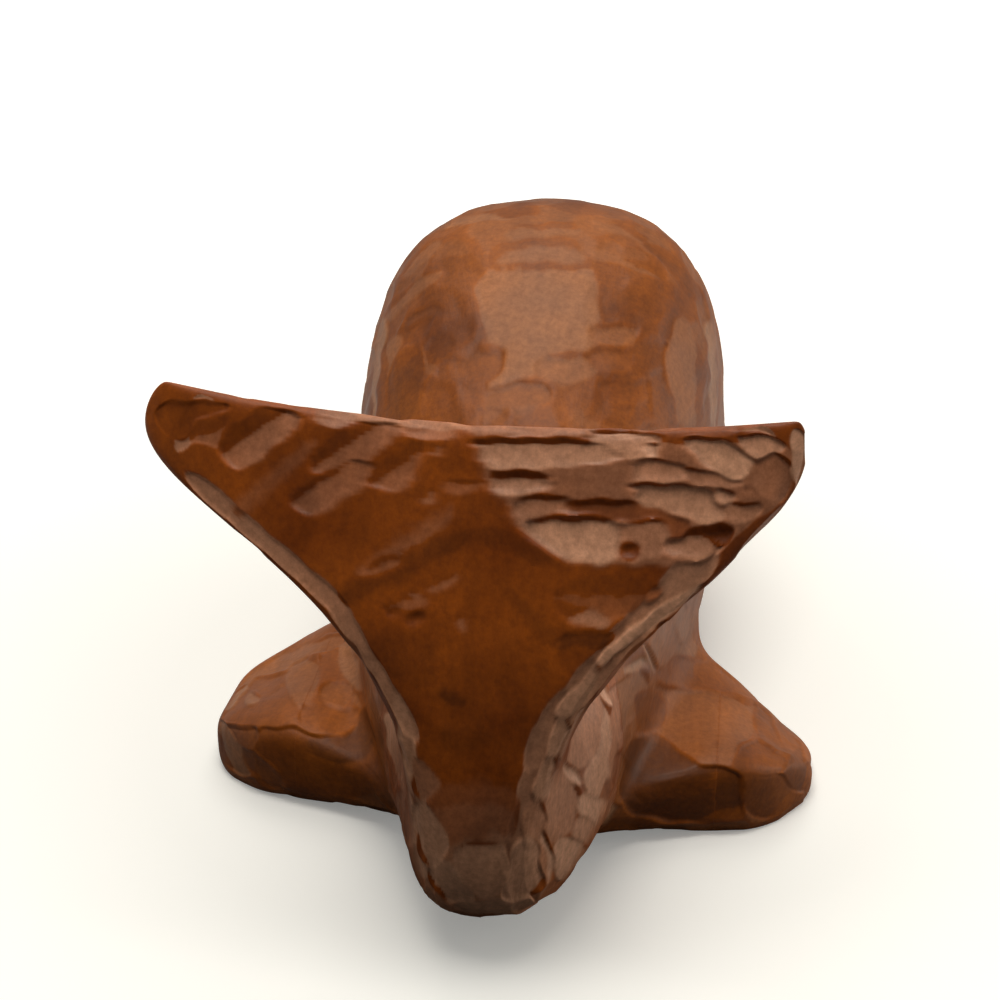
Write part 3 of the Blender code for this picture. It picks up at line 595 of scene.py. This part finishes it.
def to_mesh(name, shape):
    """Turns a finished bmesh into a mesh and frees it."""
    mesh = bpy.data.meshes.new(name)
    shape.to_mesh(mesh)
    shape.free()
    return mesh


def link(name, data):
    """Puts a mesh, a lamp or the camera in the scene."""
    thing = bpy.data.objects.new(name, data)
    bpy.context.scene.collection.objects.link(thing)
    return thing


def modified_mesh(thing):
    """The mesh that an object's modifiers make."""
    view = bpy.context.evaluated_depsgraph_get()
    return bpy.data.meshes.new_from_object(thing.evaluated_get(view))


def ring(section):
    """The points of a section: right side first, then over the back, the left side and the belly."""
    back = LENGTH * Vector((0.0, *section.back))
    belly = LENGTH * Vector((0.0, *section.belly))
    middle = belly.lerp(back, section.waist)
    upward = (back - belly).normalized()
    along = Vector((0.0, -upward.z, upward.y))
    points = []
    for point in range(RING_POINTS):
        angle = math.tau * point / RING_POINTS
        across = abs(math.cos(angle)) ** (2 / section.square)
        rise = abs(math.sin(angle)) ** (2 / section.square)
        to_right = math.cos(angle) > 0
        over_back = math.sin(angle) > 0
        half_width = LENGTH * (section.right if to_right else -section.left)
        lift = LENGTH * (section.right_lift if to_right else section.left_lift)
        half_width *= 1 + section.taper * (rise if over_back else -rise)
        reach = back - middle if over_back else belly - middle
        sideways = Vector((half_width * across, 0.0, 0.0))
        points.append(middle + reach * rise + sideways + along * lift * across ** 2)
    return points


def add_face(cage, corners, flip=False):
    """Adds a face, turned over if asked."""
    cage.faces.new(corners[::-1] if flip else corners)


def add_skin(cage, loops, open_cells):
    """Joins each loop of points to the next, but for the cells that are left open."""
    for row, (ahead, behind) in enumerate(zip(loops, loops[1:])):
        for point in range(RING_POINTS):
            after = (point + 1) % RING_POINTS
            if (row, point) not in open_cells:
                add_face(cage, (ahead[point], ahead[after], behind[after], behind[point]))


def close_end(cage, loop, flip):
    """Closes the cage at the nose or at the trailing edge."""
    for point in range(RING_POINTS // 2):
        corners = (loop[point], loop[-point % RING_POINTS], loop[RING_POINTS - 1 - point], loop[point + 1])
        add_face(cage, list(dict.fromkeys(corners)), flip)


def joint_x():
    """How far the glued faces of the flippers are from the middle."""
    return LENGTH * max(max(section.left, section.right) for section in TRUNK) + SHOULDER


def flipper_grid(cage, rows, side, section):
    """The points of one section of a flipper: its upper edge, the middle of its edge, and its underside."""
    grid = []
    for row in range(rows):
        share = row / (rows - 1)
        y = LENGTH * (section.front + (section.rear - section.front) * share)
        top = LENGTH * (section.front_top + (section.rear_top - section.front_top) * share)
        x = side * (joint_x() + LENGTH * section.out)
        heights = (top, top * FLIPPER_EDGE, GROUND_Z - UNDERCUT)
        grid.append([cage.verts.new((x, y, z)) for z in heights])
    return grid


def rim(grid):
    """The outer points of a grid, in order."""
    rows = range(len(grid) - 1)
    columns = range(len(grid[0]) - 1)
    path = [grid[0][column] for column in columns]
    path += [grid[row][-1] for row in rows]
    path += [grid[-1][-1 - column] for column in columns]
    path += [grid[-1 - row][0] for row in rows]
    return path


def grow_flipper(cage, root, side, sections):
    """Pulls a flipper out of the flank, section by section, and closes its tip."""
    flip = side > 0
    inner = root
    for section in sections:
        outer = flipper_grid(cage, len(root), side, section)
        near = rim(inner)
        far = rim(outer)
        for point in range(len(near)):
            after = (point + 1) % len(near)
            add_face(cage, (near[point], near[after], far[after], far[point]), flip)
        inner = outer
    for front, rear in zip(inner, inner[1:]):
        for column in range(len(front) - 1):
            after = column + 1
            add_face(cage, (front[column], front[after], rear[after], rear[column]), flip)


def crease_rims(cage, loops):
    """Gives the tail's backward face its edges."""
    crease = cage.edges.layers.float.new("crease_edge")
    for ahead, behind in zip(loops, loops[1:]):
        for point in RIM_POINTS:
            cage.edges.get((ahead[point], behind[point]))[crease] = RIM_CREASE


def whale_cage():
    """The cage of quads whose smooth surface is the whole whale."""
    cage = bmesh.new()
    loops = [[cage.verts.new(place) for place in ring(section)] for section in HEAD + TRUNK + STOCK + FLUKES]
    root_end = len(HEAD) + len(TRUNK)
    root_start = root_end - ROOT_SECTIONS
    roots = {}
    open_cells = set()
    for name, columns in ROOT_POINTS.items():
        roots[name] = [[loop[point] for point in columns] for loop in loops[root_start:root_end]]
        for row in range(root_start, root_end - 1):
            open_cells.update((row, min(pair)) for pair in zip(columns, columns[1:]))
    add_skin(cage, loops, open_cells)
    close_end(cage, loops[0], False)
    close_end(cage, loops[-1], True)
    grow_flipper(cage, roots["left"], SIDES["left"], LEFT_FLIPPER)
    grow_flipper(cage, roots["right"], SIDES["right"], RIGHT_FLIPPER)
    crease_rims(cage, loops[root_end:])
    loose = [vertex for vertex in cage.verts if not vertex.link_faces]
    bmesh.ops.delete(cage, geom=loose, context="VERTS")
    return cage


def fine_form(levels):
    """The smooth whale as a mesh with the given number of smoothing steps."""
    cage = link("cage", to_mesh("cage", whale_cage()))
    cage.modifiers.new("smooth", "SUBSURF").levels = levels
    mesh = modified_mesh(cage)
    bpy.data.objects.remove(cage)
    return mesh


def read_array(collection, name, width, kind=np.float64):
    """Reads one property of many mesh elements."""
    values = np.empty(len(collection) * width, kind)
    collection.foreach_get(name, values)
    return values.reshape(-1, width)


def camera_axes():
    """Where the camera is, and its right, up and forward directions."""
    azimuth = math.radians(CAMERA_AZIMUTH)
    elevation = math.radians(CAMERA_ELEVATION)
    forward = Vector((
        -math.sin(azimuth) * math.cos(elevation),
        math.cos(azimuth) * math.cos(elevation),
        -math.sin(elevation),
    ))
    right = Vector((math.cos(azimuth), math.sin(azimuth), 0.0))
    return CAMERA_TARGET - forward * CAMERA_DISTANCE, right, right.cross(forward), forward


def sight(x, y):
    """The way from the camera through a pixel of the photograph."""
    _, right, up, forward = camera_axes()
    return forward * PIXELS_AT_ONE + right * (x - PHOTO_CENTRE) - up * (y - PHOTO_CENTRE)


def seen_at(skin, x, y):
    """The place on the skin that shows at a pixel of the photograph, and its normal."""
    spot, normal, _, _ = skin.ray_cast(camera_axes()[0], sight(x, y).normalized())
    return spot, normal


def pit(skin, start, end, width, depth, raw, skew):
    """A stroke between two pixels of the photograph, square to the mean of the skin that it cuts."""
    width = width / MILLIMETRES
    depth = depth / MILLIMETRES
    middle = ((start[0] + end[0]) / 2, (start[1] + end[1]) / 2)
    centre, normal = seen_at(skin, *middle)
    run = Vector((end[0] - start[0], end[1] - start[1]))
    side = Vector((-run.y, run.x)).normalized() * width * PIXELS_PER_METRE * FELT_ACROSS
    for step in (run * FELT_ALONG, run * -FELT_ALONG, side, side * -1):
        spot, facing = seen_at(skin, middle[0] + step.x, middle[1] + step.y)
        if spot and (spot - centre).length < width + run.length / PIXELS_PER_METRE:
            normal = normal + facing
    normal = normal.normalized()
    place = camera_axes()[0]
    ends = []
    for ray in (sight(*start), sight(*end)):
        ends.append(place + ray * ((centre - place).dot(normal) / ray.dot(normal)))
    along = ends[1] - ends[0]
    return Stroke(
        centre, normal, along.normalized(), along.length / 2, width / 2, depth, PIT_POWER, raw, 0, skew)


def on_skin(way, normal):
    """The part of a direction that runs along the skin, one metre long."""
    return (way - normal * way.dot(normal)).normalized()


def rim_strokes(skin, column, depth):
    """Flat strokes that follow each other along a rim of the tail's backward face and cut its edge off."""
    corners = [ring(section)[column] for section in STOCK + FLUKES]
    path = []
    for start, end in zip(corners, corners[1:]):
        steps = max(1, round((end - start).length / RIM_STEP))
        path += [start.lerp(end, step / steps) for step in range(steps)]
    strokes = []
    travelled = RIM_SPACING
    for before, corner, after in zip(path, path[1:], path[2:]):
        travelled += (corner - before).length
        if travelled < RIM_SPACING:
            continue
        travelled = 0.0
        centre, _, _, _ = skin.find_nearest(corner)
        normal = (corner - centre).normalized()
        along = on_skin((after - before).normalized(), normal)
        strokes.append(Stroke(
            centre, normal, along, RIM_LENGTH * RIM_SPACING, RIM_WIDTH * depth, depth, RIM_POWER,
            RIM_FINISH))
    return strokes


def mouth_strokes(skin):
    """Narrow grooves that follow each other along the mouth, on both sides of the head."""
    strokes = []
    for side in SIDES.values():
        path = []
        for turn in range(MOUTH_STEPS + 1):
            share = turn / MOUTH_STEPS
            aim = Vector((side * math.sin(share * MOUTH_TURN), math.cos(share * MOUTH_TURN), 0.0))
            height = MOUTH_FRONT + (MOUTH_CORNER - MOUTH_FRONT) * share ** 2
            spot, normal, _, _ = skin.ray_cast(Vector((0.0, MOUTH_CENTRE_Y, height)) + aim, -aim)
            path.append((spot, normal))
        for (start, normal), (end, _) in zip(path, path[1:]):
            run = end - start
            strokes.append(Stroke(
                (start + end) / 2, normal, on_skin(run, normal), MOUTH_LENGTH * run.length,
                MOUTH_WIDTH / 2, MOUTH_DEPTH, MOUTH_POWER, MOUTH_FINISH))
    return strokes


def from_deepest(values, deepest):
    """How far values from -1 to 1 are from the deepest place, as a share of the way to the border."""
    way = values - deepest
    return np.abs(way) / np.where(way > 0, 1 - deepest, 1 + deepest)


def points_near(points, stroke, order, ordered_y):
    """The points in the box round a stroke, and where they are from its centre."""
    reach = max(stroke.length, stroke.width)
    first, last = np.searchsorted(ordered_y, (stroke.centre[1] - reach, stroke.centre[1] + reach))
    near = order[first:last]
    offset = points[near] - stroke.centre
    close = (np.abs(offset[:, 0]) < reach) & (np.abs(offset[:, 2]) < reach)
    return near[close], offset[close]


def stroke_cut(stroke, offset, normals):
    """How deep a stroke cuts at places from its centre, where the skin has these normals."""
    normal = np.array(stroke.normal)
    along = np.array(stroke.along)
    across = np.cross(normal, along)
    lengthwise = offset @ along / stroke.length
    sideways = offset @ across / stroke.width
    height = offset @ normal
    chord = np.sqrt(np.maximum(1 - from_deepest(lengthwise, stroke.lean) ** 2, TINY))
    rise = from_deepest(np.clip(sideways / chord, -1, 1), stroke.skew) ** stroke.power
    facing = normals @ normal
    reach = stroke.depth * chord ** (2 / stroke.power)
    cut = (reach * (1 - rise) + np.minimum(height, 0.0)) / np.maximum(facing, FACING)
    cut *= np.clip(1 - height / (STROKE_RISE * stroke.depth), 0.0, 1.0)
    return np.where(facing > FACING, cut, 0.0)


def cut_depths(points, normals, strokes):
    """How deep the strokes cut at each point, the deepest one counting, and how raw that leaves it."""
    order = np.argsort(points[:, 1])
    ordered_y = points[order, 1]
    depths = np.zeros(len(points))
    finishes_and_light = np.zeros(len(points))
    for stroke in strokes:
        near, offset = points_near(points, stroke, order, ordered_y)
        cut = stroke_cut(stroke, offset, normals[near])
        deeper = cut > depths[near]
        finishes_and_light[near] = np.where(deeper, stroke.raw, finishes_and_light[near])
        depths[near] = np.where(deeper, cut, depths[near])
    return depths, finishes_and_light


def rounded(outline):
    """An outline with its corners cut off."""
    for _ in range(CORNER_ROUNDS):
        ahead = np.roll(outline, -1, axis=0)
        leaving = (1 - CORNER_CUT) * outline + CORNER_CUT * ahead
        arriving = CORNER_CUT * outline + (1 - CORNER_CUT) * ahead
        outline = np.stack((leaving, arriving), axis=1).reshape(-1, 2)
    return outline


def inside_outline(places, outline):
    """How far places are from the border of an outline, counted positive inside it."""
    nearest = np.full(len(places), np.inf)
    crossings = np.zeros(len(places), int)
    for start, end in zip(outline, np.roll(outline, -1, axis=0)):
        run = end - start
        offset = places - start
        share = np.clip(offset @ run / max(run @ run, TINY), 0.0, 1.0)
        nearest = np.minimum(nearest, np.hypot(*(offset - share[:, None] * run).T))
        spans = (start[1] > places[:, 1]) != (end[1] > places[:, 1])
        if run[1]:
            crossings += spans & (offset[:, 0] < offset[:, 1] * run[0] / run[1])
    return np.where(crossings % 2 == 1, nearest, -nearest)


def photo_places(points, normals):
    """Where points show in the photograph, how far ahead they are and how squarely they face it."""
    place, right, up, forward = (np.array(axis) for axis in camera_axes())
    rays = points - place
    away = rays @ forward
    pixels = PHOTO_CENTRE + PIXELS_AT_ONE * np.stack((rays @ right, -(rays @ up)), axis=1) / away[:, None]
    facing = -np.einsum("ij,ij->i", rays, normals) / np.linalg.norm(rays, axis=1)
    drift = WAVE_DRIFT * np.sin(WAVE / WAVE_SLOWER * pixels)
    pixels += WAVER * np.sin(WAVE * pixels[:, ::-1] + drift)
    return pixels, away, facing


def under_outline(outline, skin, shown, columns, pixels, away):
    """The points that a cut reaches, and how far inside the widened outline they are."""
    low = outline.min(axis=0) - OVERLAP
    high = outline.max(axis=0) + OVERLAP
    first, last = np.searchsorted(columns, (low[0], high[0]))
    near = shown[first:last]
    near = near[(pixels[near, 1] > low[1]) & (pixels[near, 1] < high[1])]
    middle, _ = seen_at(skin, *outline.mean(axis=0))
    place, _, _, forward = camera_axes()
    near = near[np.abs(away[near] - (middle - place).dot(forward)) < CUT_REACH]
    margin = inside_outline(pixels[near], outline)
    return near[margin > -OVERLAP], margin[margin > -OVERLAP] + OVERLAP


def smooth_step(share):
    """Goes from 0 to 1 with soft ends."""
    share = np.clip(share, 0.0, 1.0)
    return share * share * (3 - 2 * share)


def cut_floor(places, outline, angle, deepest, depth):
    """How deep a cut is at each place, and whether that is on its shallow side."""
    toward = np.array((math.cos(math.radians(angle)), -math.sin(math.radians(angle))))
    ends = outline @ toward
    share = (places @ toward - ends.min()) / (ends.max() - ends.min())
    slope = np.where(share < deepest, 1 - (1 - share / deepest) ** 2, (1 - share) / (1 - deepest))
    return depth / MILLIMETRES * np.clip(slope, 0.0, 1.0), share < deepest


def add_cuts(points, normals, skin, depths, finishes_and_light):
    """Lays the cuts with an outline over the strokes."""
    pixels, away, facing = photo_places(points, normals)
    shown = np.flatnonzero(facing > CUT_FACING)
    shown = shown[np.argsort(pixels[shown, 0])]
    columns = pixels[shown, 0]
    # Each cut's finish is wax or bare wood, and also painted light and shade.
    for *blade, finish, corners in SEEN_CUTS:
        outline = rounded(np.reshape(corners, (-1, 2)).astype(float))
        near, margin = under_outline(outline, skin, shown, columns, pixels, away)
        step = smooth_step(margin / BORDER) * np.clip((facing[near] - CUT_FACING) / CUT_FADE, 0.0, 1.0)
        if blade:
            floor, shallow = cut_floor(pixels[near], outline, *blade)
            depths[near] += step * (floor + CUT_KEEPS * depths[near] - depths[near])
            # The steep wall takes a darker finish, which is painted shade as well as wax.
            finish = np.where(shallow, finish, WALL_FINISH_AND_SHADE)
        finishes_and_light[near] += step * (finish - finishes_and_light[near])


def averaged(values, edges, rounds):
    """Values at the vertices, each averaged with its neighbours."""
    count = np.bincount(edges.ravel(), minlength=len(values))
    for _ in range(rounds):
        total = np.bincount(edges[:, 0], values[edges[:, 1]], len(values))
        total += np.bincount(edges[:, 1], values[edges[:, 0]], len(values))
        values = (values + total / count) / 2
    return values


def cover_at(point, normal):
    """Which kind of stroke a place has, and the direction that the blade goes in there."""
    x, y, z = point
    if abs(x) > FLIPPER_INSIDE and z < FLIPPER_TOP and FLIPPER_REAR < y < FLIPPER_FRONT:
        kind = "flipper"
    elif y < TAIL_START:
        kind = "broad_face" if normal[1] < BROAD_FACING and z > BROAD_FOOT else "tail"
    else:
        kind = "crown" if z > CROWN_HEIGHT else "trunk"
    outward, forward, upward = COVERS[kind].way
    if kind == "flipper":
        outward = math.copysign(outward, x)
    if kind == "tail":
        outward = outward * x / TAIL_FAN
    return COVERS[kind], Vector((outward, forward, upward))


def too_near(others, point, reach):
    """Whether a point is within reach of any of the others."""
    gaps = np.array(others) - point
    return (np.einsum("ij,ij->i", gaps, gaps) < reach ** 2).any()


def slanted(normal, along, cover, dice):
    """A stroke's two directions after the hand has turned and tilted the blade."""
    turn = Matrix.Rotation(math.radians(dice.normal(0, cover.spread)), 3, normal)
    along = turn @ on_skin(along, normal)
    slant = Matrix.Rotation(math.radians(dice.normal(0, cover.slant)), 3, along)
    slant @= Matrix.Rotation(math.radians(dice.normal(0, cover.slant)), 3, normal.cross(along))
    return slant @ normal, slant @ along


def scattered_strokes(points, normals, taken):
    """Strokes over all of the skin, apart from where others are given."""
    dice = np.random.RandomState(SEED)
    hand = np.array([stroke.centre for stroke in taken])
    reach = np.array([HAND_SHARE * min(stroke.length, stroke.width * HAND_WIDTHS) for stroke in taken])
    strokes = []
    centres = []
    for index in dice.permutation(len(points)):
        point = points[index]
        if point[2] < LOWEST_STROKE:
            continue
        cover, along = cover_at(point, normals[index])
        if centres and too_near(centres, point, cover.spacing) or too_near(hand, point, reach):
            continue
        centres.append(point)
        normal, along = slanted(Vector(normals[index]), along, cover, dice)
        length, width, depth = (dice.uniform(*sizes) for sizes in (cover.length, cover.width, cover.depth))
        lean = dice.uniform(-COVER_LEAN, COVER_LEAN)
        skew = dice.uniform(-COVER_SKEW, COVER_SKEW)
        raw = dice.uniform(0, cover.raw)
        strokes.append(Stroke(
            Vector(point), normal, along, length, width, depth, COVER_POWER, raw, lean, skew))
    return strokes


def hand_strokes(skin):
    """The pits, the strokes along the rims and those of the mouth."""
    strokes = [pit(skin, *row) for row in PITS]
    for column, depth in RIM_DEPTHS.items():
        strokes += rim_strokes(skin, column, depth)
    return strokes + mouth_strokes(skin)


def places_and_normals(mesh):
    """Two arrays, of a mesh's vertices and their normals."""
    return read_array(mesh.vertices, "co", 3), read_array(mesh.vertex_normals, "vector", 3)


def store(mesh, name, values):
    """Keeps a number for each vertex, for the materials."""
    attribute = mesh.attributes.new(name, "FLOAT", "POINT")
    attribute.data.foreach_set("value", values.astype(np.float32))


def carved_whale():
    """The whole whale with its tool marks, as one closed mesh."""
    coarse = fine_form(COARSE_STEPS)
    corners = [vertex.co.copy() for vertex in coarse.vertices]
    skin = BVHTree.FromPolygons(corners, [tuple(face.vertices) for face in coarse.polygons])
    hand = hand_strokes(skin)
    strokes = hand + scattered_strokes(*places_and_normals(coarse), hand)
    mesh = fine_form(FINE_STEPS)
    points, normals = places_and_normals(mesh)
    edges = read_array(mesh.edges, "vertices", 2, np.int32)
    depths, finishes_and_light = cut_depths(points, normals, strokes)
    add_cuts(points, normals, skin, depths, finishes_and_light)
    depths = averaged(depths, edges, FINE_ROUNDS)
    around = averaged(depths, edges, WIDE_ROUNDS)
    points -= normals * depths[:, None]
    mesh.vertices.foreach_set("co", points.ravel())
    # Ridges get lighter, as rubbed wax, and hollows darker, as painted shade.
    store(mesh, "wear_and_shade", (around - depths) / WEAR_AND_SHADE_HEIGHT)
    store(mesh, "raw", averaged(finishes_and_light, edges, FINE_ROUNDS))
    mesh.update()
    return mesh


def block_mesh(low, high):
    """A box between two corners."""
    shape = bmesh.new()
    bmesh.ops.create_cube(shape, size=1.0)
    low = Vector(low)
    high = Vector(high)
    stretch = Matrix.Diagonal((*(high - low), 1.0))
    bmesh.ops.transform(shape, matrix=Matrix.Translation((low + high) / 2) @ stretch, verts=shape.verts)
    return to_mesh("block", shape)


def dress(mesh, material):
    """Gives a mesh one material."""
    mesh.materials.clear()
    mesh.materials.append(material)


def cut_piece(name, whale, low, high, material):
    """A piece of the carved whale: what lies inside its block."""
    block = link("block", block_mesh(low, high))
    whole = link("whole", whale)
    cut = whole.modifiers.new("cut", "BOOLEAN")
    cut.operation = "INTERSECT"
    cut.object = block
    cut.solver = "MANIFOLD"
    mesh = modified_mesh(whole)
    bpy.data.objects.remove(whole)
    bpy.data.objects.remove(block)
    triangles = sum(len(face.vertices) - 2 for face in mesh.polygons)
    piece = link(name, mesh)
    if triangles > MOST_TRIANGLES:
        piece.modifiers.new("thin", "DECIMATE").ratio = MOST_TRIANGLES / triangles
        mesh = modified_mesh(piece)
        piece.modifiers.clear()
        piece.data = mesh
    mesh.name = name
    mesh.shade_smooth()
    mesh.set_sharp_from_angle(angle=math.radians(SHARP_ANGLE))
    dress(mesh, material)
    return piece


def add_node(tree, kind, inputs=None, **settings):
    """Adds a shader node and sets or links its inputs."""
    node = tree.nodes.new(kind)
    for name, value in settings.items():
        setattr(node, name, value)
    for key, value in (inputs or {}).items():
        if isinstance(value, bpy.types.NodeSocket):
            tree.links.new(value, node.inputs[key])
        else:
            node.inputs[key].default_value = value
    return node


def ramp(tree, value, stops):
    """A colour ramp through stops of (place, colour)."""
    node = add_node(tree, "ShaderNodeValToRGB", {"Fac": value})
    elements = node.color_ramp.elements
    while len(elements) < len(stops):
        elements.new(1.0)
    for element, (place, colour) in zip(elements, stops):
        element.position = place
        element.color = (*colour, 1.0)
    return node.outputs["Color"]


def shades(colour, steps):
    """The stops of a ramp through darker and lighter shades of a colour."""
    return [(place, tuple(share * part for part in colour)) for place, share in steps]


def new_material(name):
    """A material and its nodes."""
    material = bpy.data.materials.new(name)
    material.use_nodes = True
    return material, material.node_tree


def noise(tree, place, pattern, output="Fac"):
    """A noise pattern."""
    return add_node(tree, "ShaderNodeTexNoise", {"Vector": place, **pattern}).outputs[output]


def mix(tree, share, first, second, blend="MIX"):
    """Mixes two colours."""
    inputs = {"Factor": share, MIX_FIRST: first, MIX_SECOND: second}
    node = add_node(tree, "ShaderNodeMix", inputs, data_type="RGBA", blend_type=blend)
    return node.outputs[MIX_RESULT]


def tinted(tree, colour, tint):
    """A colour times another."""
    return mix(tree, 1.0, colour, tint, "MULTIPLY")


def ranged(tree, value, low, high, low_result, high_result):
    """A value in one range, brought to another."""
    inputs = {"Value": value, "From Min": low, "From Max": high, "To Min": low_result, "To Max": high_result}
    return add_node(tree, "ShaderNodeMapRange", inputs).outputs[0]


def measure(tree, operation, *vectors):
    """A number that a vector operation gives."""
    node = add_node(tree, "ShaderNodeVectorMath", dict(enumerate(vectors)), operation=operation)
    return node.outputs["Value"]


def texture_place(tree, output="Object"):
    """Where a point is, in the object's own axes or as a direction."""
    return add_node(tree, "ShaderNodeTexCoord").outputs[output]


def camera_ray(tree):
    """Whether the camera sees the surface itself."""
    return add_node(tree, "ShaderNodeLightPath").outputs["Is Camera Ray"]


def whale_wood(name, wood):
    """Carved wood with a satin wax finish, dark where the wax is thick and pale where it is cut through. It
    also paints light and shade: lit facets and sheen pale, shaded sides and hollows dark.
    """
    material, tree = new_material(name)
    shader = tree.nodes["Principled BSDF"]
    place = texture_place(tree)
    bent = mix(tree, BEND_SHARE, place, noise(tree, place, BEND, "Color"))
    fibres = add_node(tree, "ShaderNodeMapping", {"Vector": bent, "Scale": wood.grain}).outputs[0]
    bands = noise(tree, fibres, BANDS)
    blotches = noise(tree, place, BLOTCHES)
    raw = add_node(tree, "ShaderNodeAttribute", attribute_name="raw").outputs["Fac"]
    wear_and_shade = add_node(tree, "ShaderNodeAttribute", attribute_name="wear_and_shade").outputs["Fac"]
    waxed = ramp(tree, bands, shades(wood.waxed, BAND_SHADES))
    waxed = tinted(tree, waxed, ramp(tree, blotches, BLOTCH_TINTS))
    # The finish mixes in the bare colour and darkens where the wax is thick, and with these paints light and
    # shade.
    colour = mix(tree, raw, waxed, ramp(tree, bands, shades(wood.bare, BAND_SHADES)))
    colour = tinted(tree, colour, ranged(tree, raw, *FINISH_AND_LIGHT_TONES))
    # Hollows are darkened here as painted shade, and ridges lightened as rubbed wax.
    colour = tinted(tree, colour, ranged(tree, wear_and_shade, *WEAR_AND_SHADE_TONES))
    colour = tinted(tree, colour, ramp(tree, noise(tree, place, SPECKS), SPECK_TINTS))
    tree.links.new(colour, shader.inputs["Base Color"])
    tree.links.new(ranged(tree, blotches, *ROUGHNESSES), shader.inputs["Roughness"])
    shader.inputs["Specular IOR Level"].default_value = WOOD_SPECULAR
    bump = add_node(tree, "ShaderNodeBump", {"Height": noise(tree, fibres, PORES), **PORE_BUMP})
    tree.links.new(bump.outputs[0], shader.inputs["Normal"])
    return material


def plain_wood(name, colour, roughness):
    """Fine even wood."""
    material, tree = new_material(name)
    shader = tree.nodes["Principled BSDF"]
    grain = noise(tree, texture_place(tree), PLAIN_GRAIN)
    tree.links.new(ramp(tree, grain, shades(colour, PLAIN_SHADES)), shader.inputs["Base Color"])
    shader.inputs["Roughness"].default_value = roughness
    return material


def add_floor():
    """A pale floor that goes white away from the whale's shadow."""
    mesh = block_mesh((-FLOOR_HALF, -FLOOR_HALF, -FLOOR_THICKNESS), (FLOOR_HALF, FLOOR_HALF, GROUND_Z))
    floor = link("floor", mesh)
    material, tree = new_material("floor")
    tree.nodes.clear()
    spot = texture_place(tree)
    bright = ranged(tree, measure(tree, "LENGTH", spot), *GLOW_RANGE)
    white = add_node(tree, "ShaderNodeBsdfDiffuse", {"Color": FLOOR_COLOUR}).outputs[0]
    glow = add_node(tree, "ShaderNodeEmission", {"Color": GLOW_COLOUR, "Strength": bright}).outputs[0]
    both = add_node(tree, "ShaderNodeAddShader", {0: white, 1: glow}).outputs[0]
    share = ranged(tree, measure(tree, "DISTANCE", spot, DIM_PLACE), *DIM_RANGE)
    dim = add_node(tree, "ShaderNodeBsdfDiffuse", {"Color": share}).outputs[0]
    lit = add_node(tree, "ShaderNodeMixShader", {"Fac": camera_ray(tree), 1: dim, 2: both}).outputs[0]
    add_node(tree, "ShaderNodeOutputMaterial", {"Surface": lit})
    mesh.materials.append(material)


def aim(thing, place, direction):
    """Puts a lamp or the camera at a place and turns it."""
    thing.location = place
    thing.rotation_mode = "QUATERNION"
    thing.rotation_quaternion = direction.to_track_quat("-Z", "Y")


def add_lamp(name, lamp):
    """A soft square lamp."""
    light = bpy.data.lights.new(name, "AREA")
    light.shape = "SQUARE"
    light.size = lamp.size
    light.energy = lamp.power
    light.color = LAMP_COLOUR
    aim(link(name, light), lamp.place, Vector(lamp.aim) - Vector(lamp.place))


def add_world():
    """Pale surroundings that are dim behind the tail, plain white where the camera sees them."""
    world = bpy.data.worlds.new("surroundings")
    world.use_nodes = True
    tree = world.node_tree
    tree.nodes.clear()
    strength = ranged(
        tree, measure(tree, "DOT_PRODUCT", texture_place(tree, "Generated"), SKY_DIM_WAY), *SKY_RANGE)
    light = add_node(tree, "ShaderNodeBackground", {"Color": SKY_COLOUR, "Strength": strength}).outputs[0]
    seen = add_node(tree, "ShaderNodeBackground", {"Color": WHITE}).outputs[0]
    both = add_node(tree, "ShaderNodeMixShader", {"Fac": camera_ray(tree), 1: light, 2: seen}).outputs[0]
    add_node(tree, "ShaderNodeOutputWorld", {"Surface": both})
    bpy.context.scene.world = world


def add_camera():
    """The camera at the photograph's angle."""
    camera = bpy.data.cameras.new("camera")
    camera.sensor_width = SENSOR_WIDTH
    camera.lens = SENSOR_WIDTH * PIXELS_AT_ONE / (2 * PHOTO_CENTRE)
    camera.clip_start = CAMERA_NEAR
    thing = link("camera", camera)
    place, _, _, forward = camera_axes()
    aim(thing, place, forward)
    bpy.context.scene.camera = thing


def main():
    """Makes the whale, its floor, light and camera."""
    whale = carved_whale()
    inner = joint_x() - SEAM
    outer = joint_x() + SEAM
    front = TAIL_JOINT_Y + SEAM
    rear = TAIL_JOINT_Y - SEAM
    trunk_wood = whale_wood("trunk_wood", TRUNK_WOOD)
    tail_wood = whale_wood("tail_wood", TAIL_WOOD)
    blocks = {
        "trunk": ((-inner, front, GROUND_Z), (inner, FAR, FAR), trunk_wood),
        "tail": ((-FAR, -FAR, GROUND_Z), (FAR, rear, FAR), tail_wood),
        "left_flipper": ((-FAR, front, GROUND_Z), (-outer, FAR, FAR), trunk_wood),
        "right_flipper": ((outer, front, GROUND_Z), (FAR, FAR, FAR), trunk_wood),
    }
    for name, (low, high, wood) in blocks.items():
        piece = cut_piece("carved_" + name, whale, low, high, wood)
        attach(piece, "root")
        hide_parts(name)
    for kind, (colour, roughness) in PLAIN_WOODS.items():
        material = plain_wood(kind, colour, roughness)
        for name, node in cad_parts.items():
            if kind in name:
                dress(node.data, material)
    add_floor()
    add_world()
    for name, lamp in LAMPS.items():
        add_lamp(name, lamp)
    add_camera()
    bpy.context.scene.view_settings.view_transform = "Standard"


main()
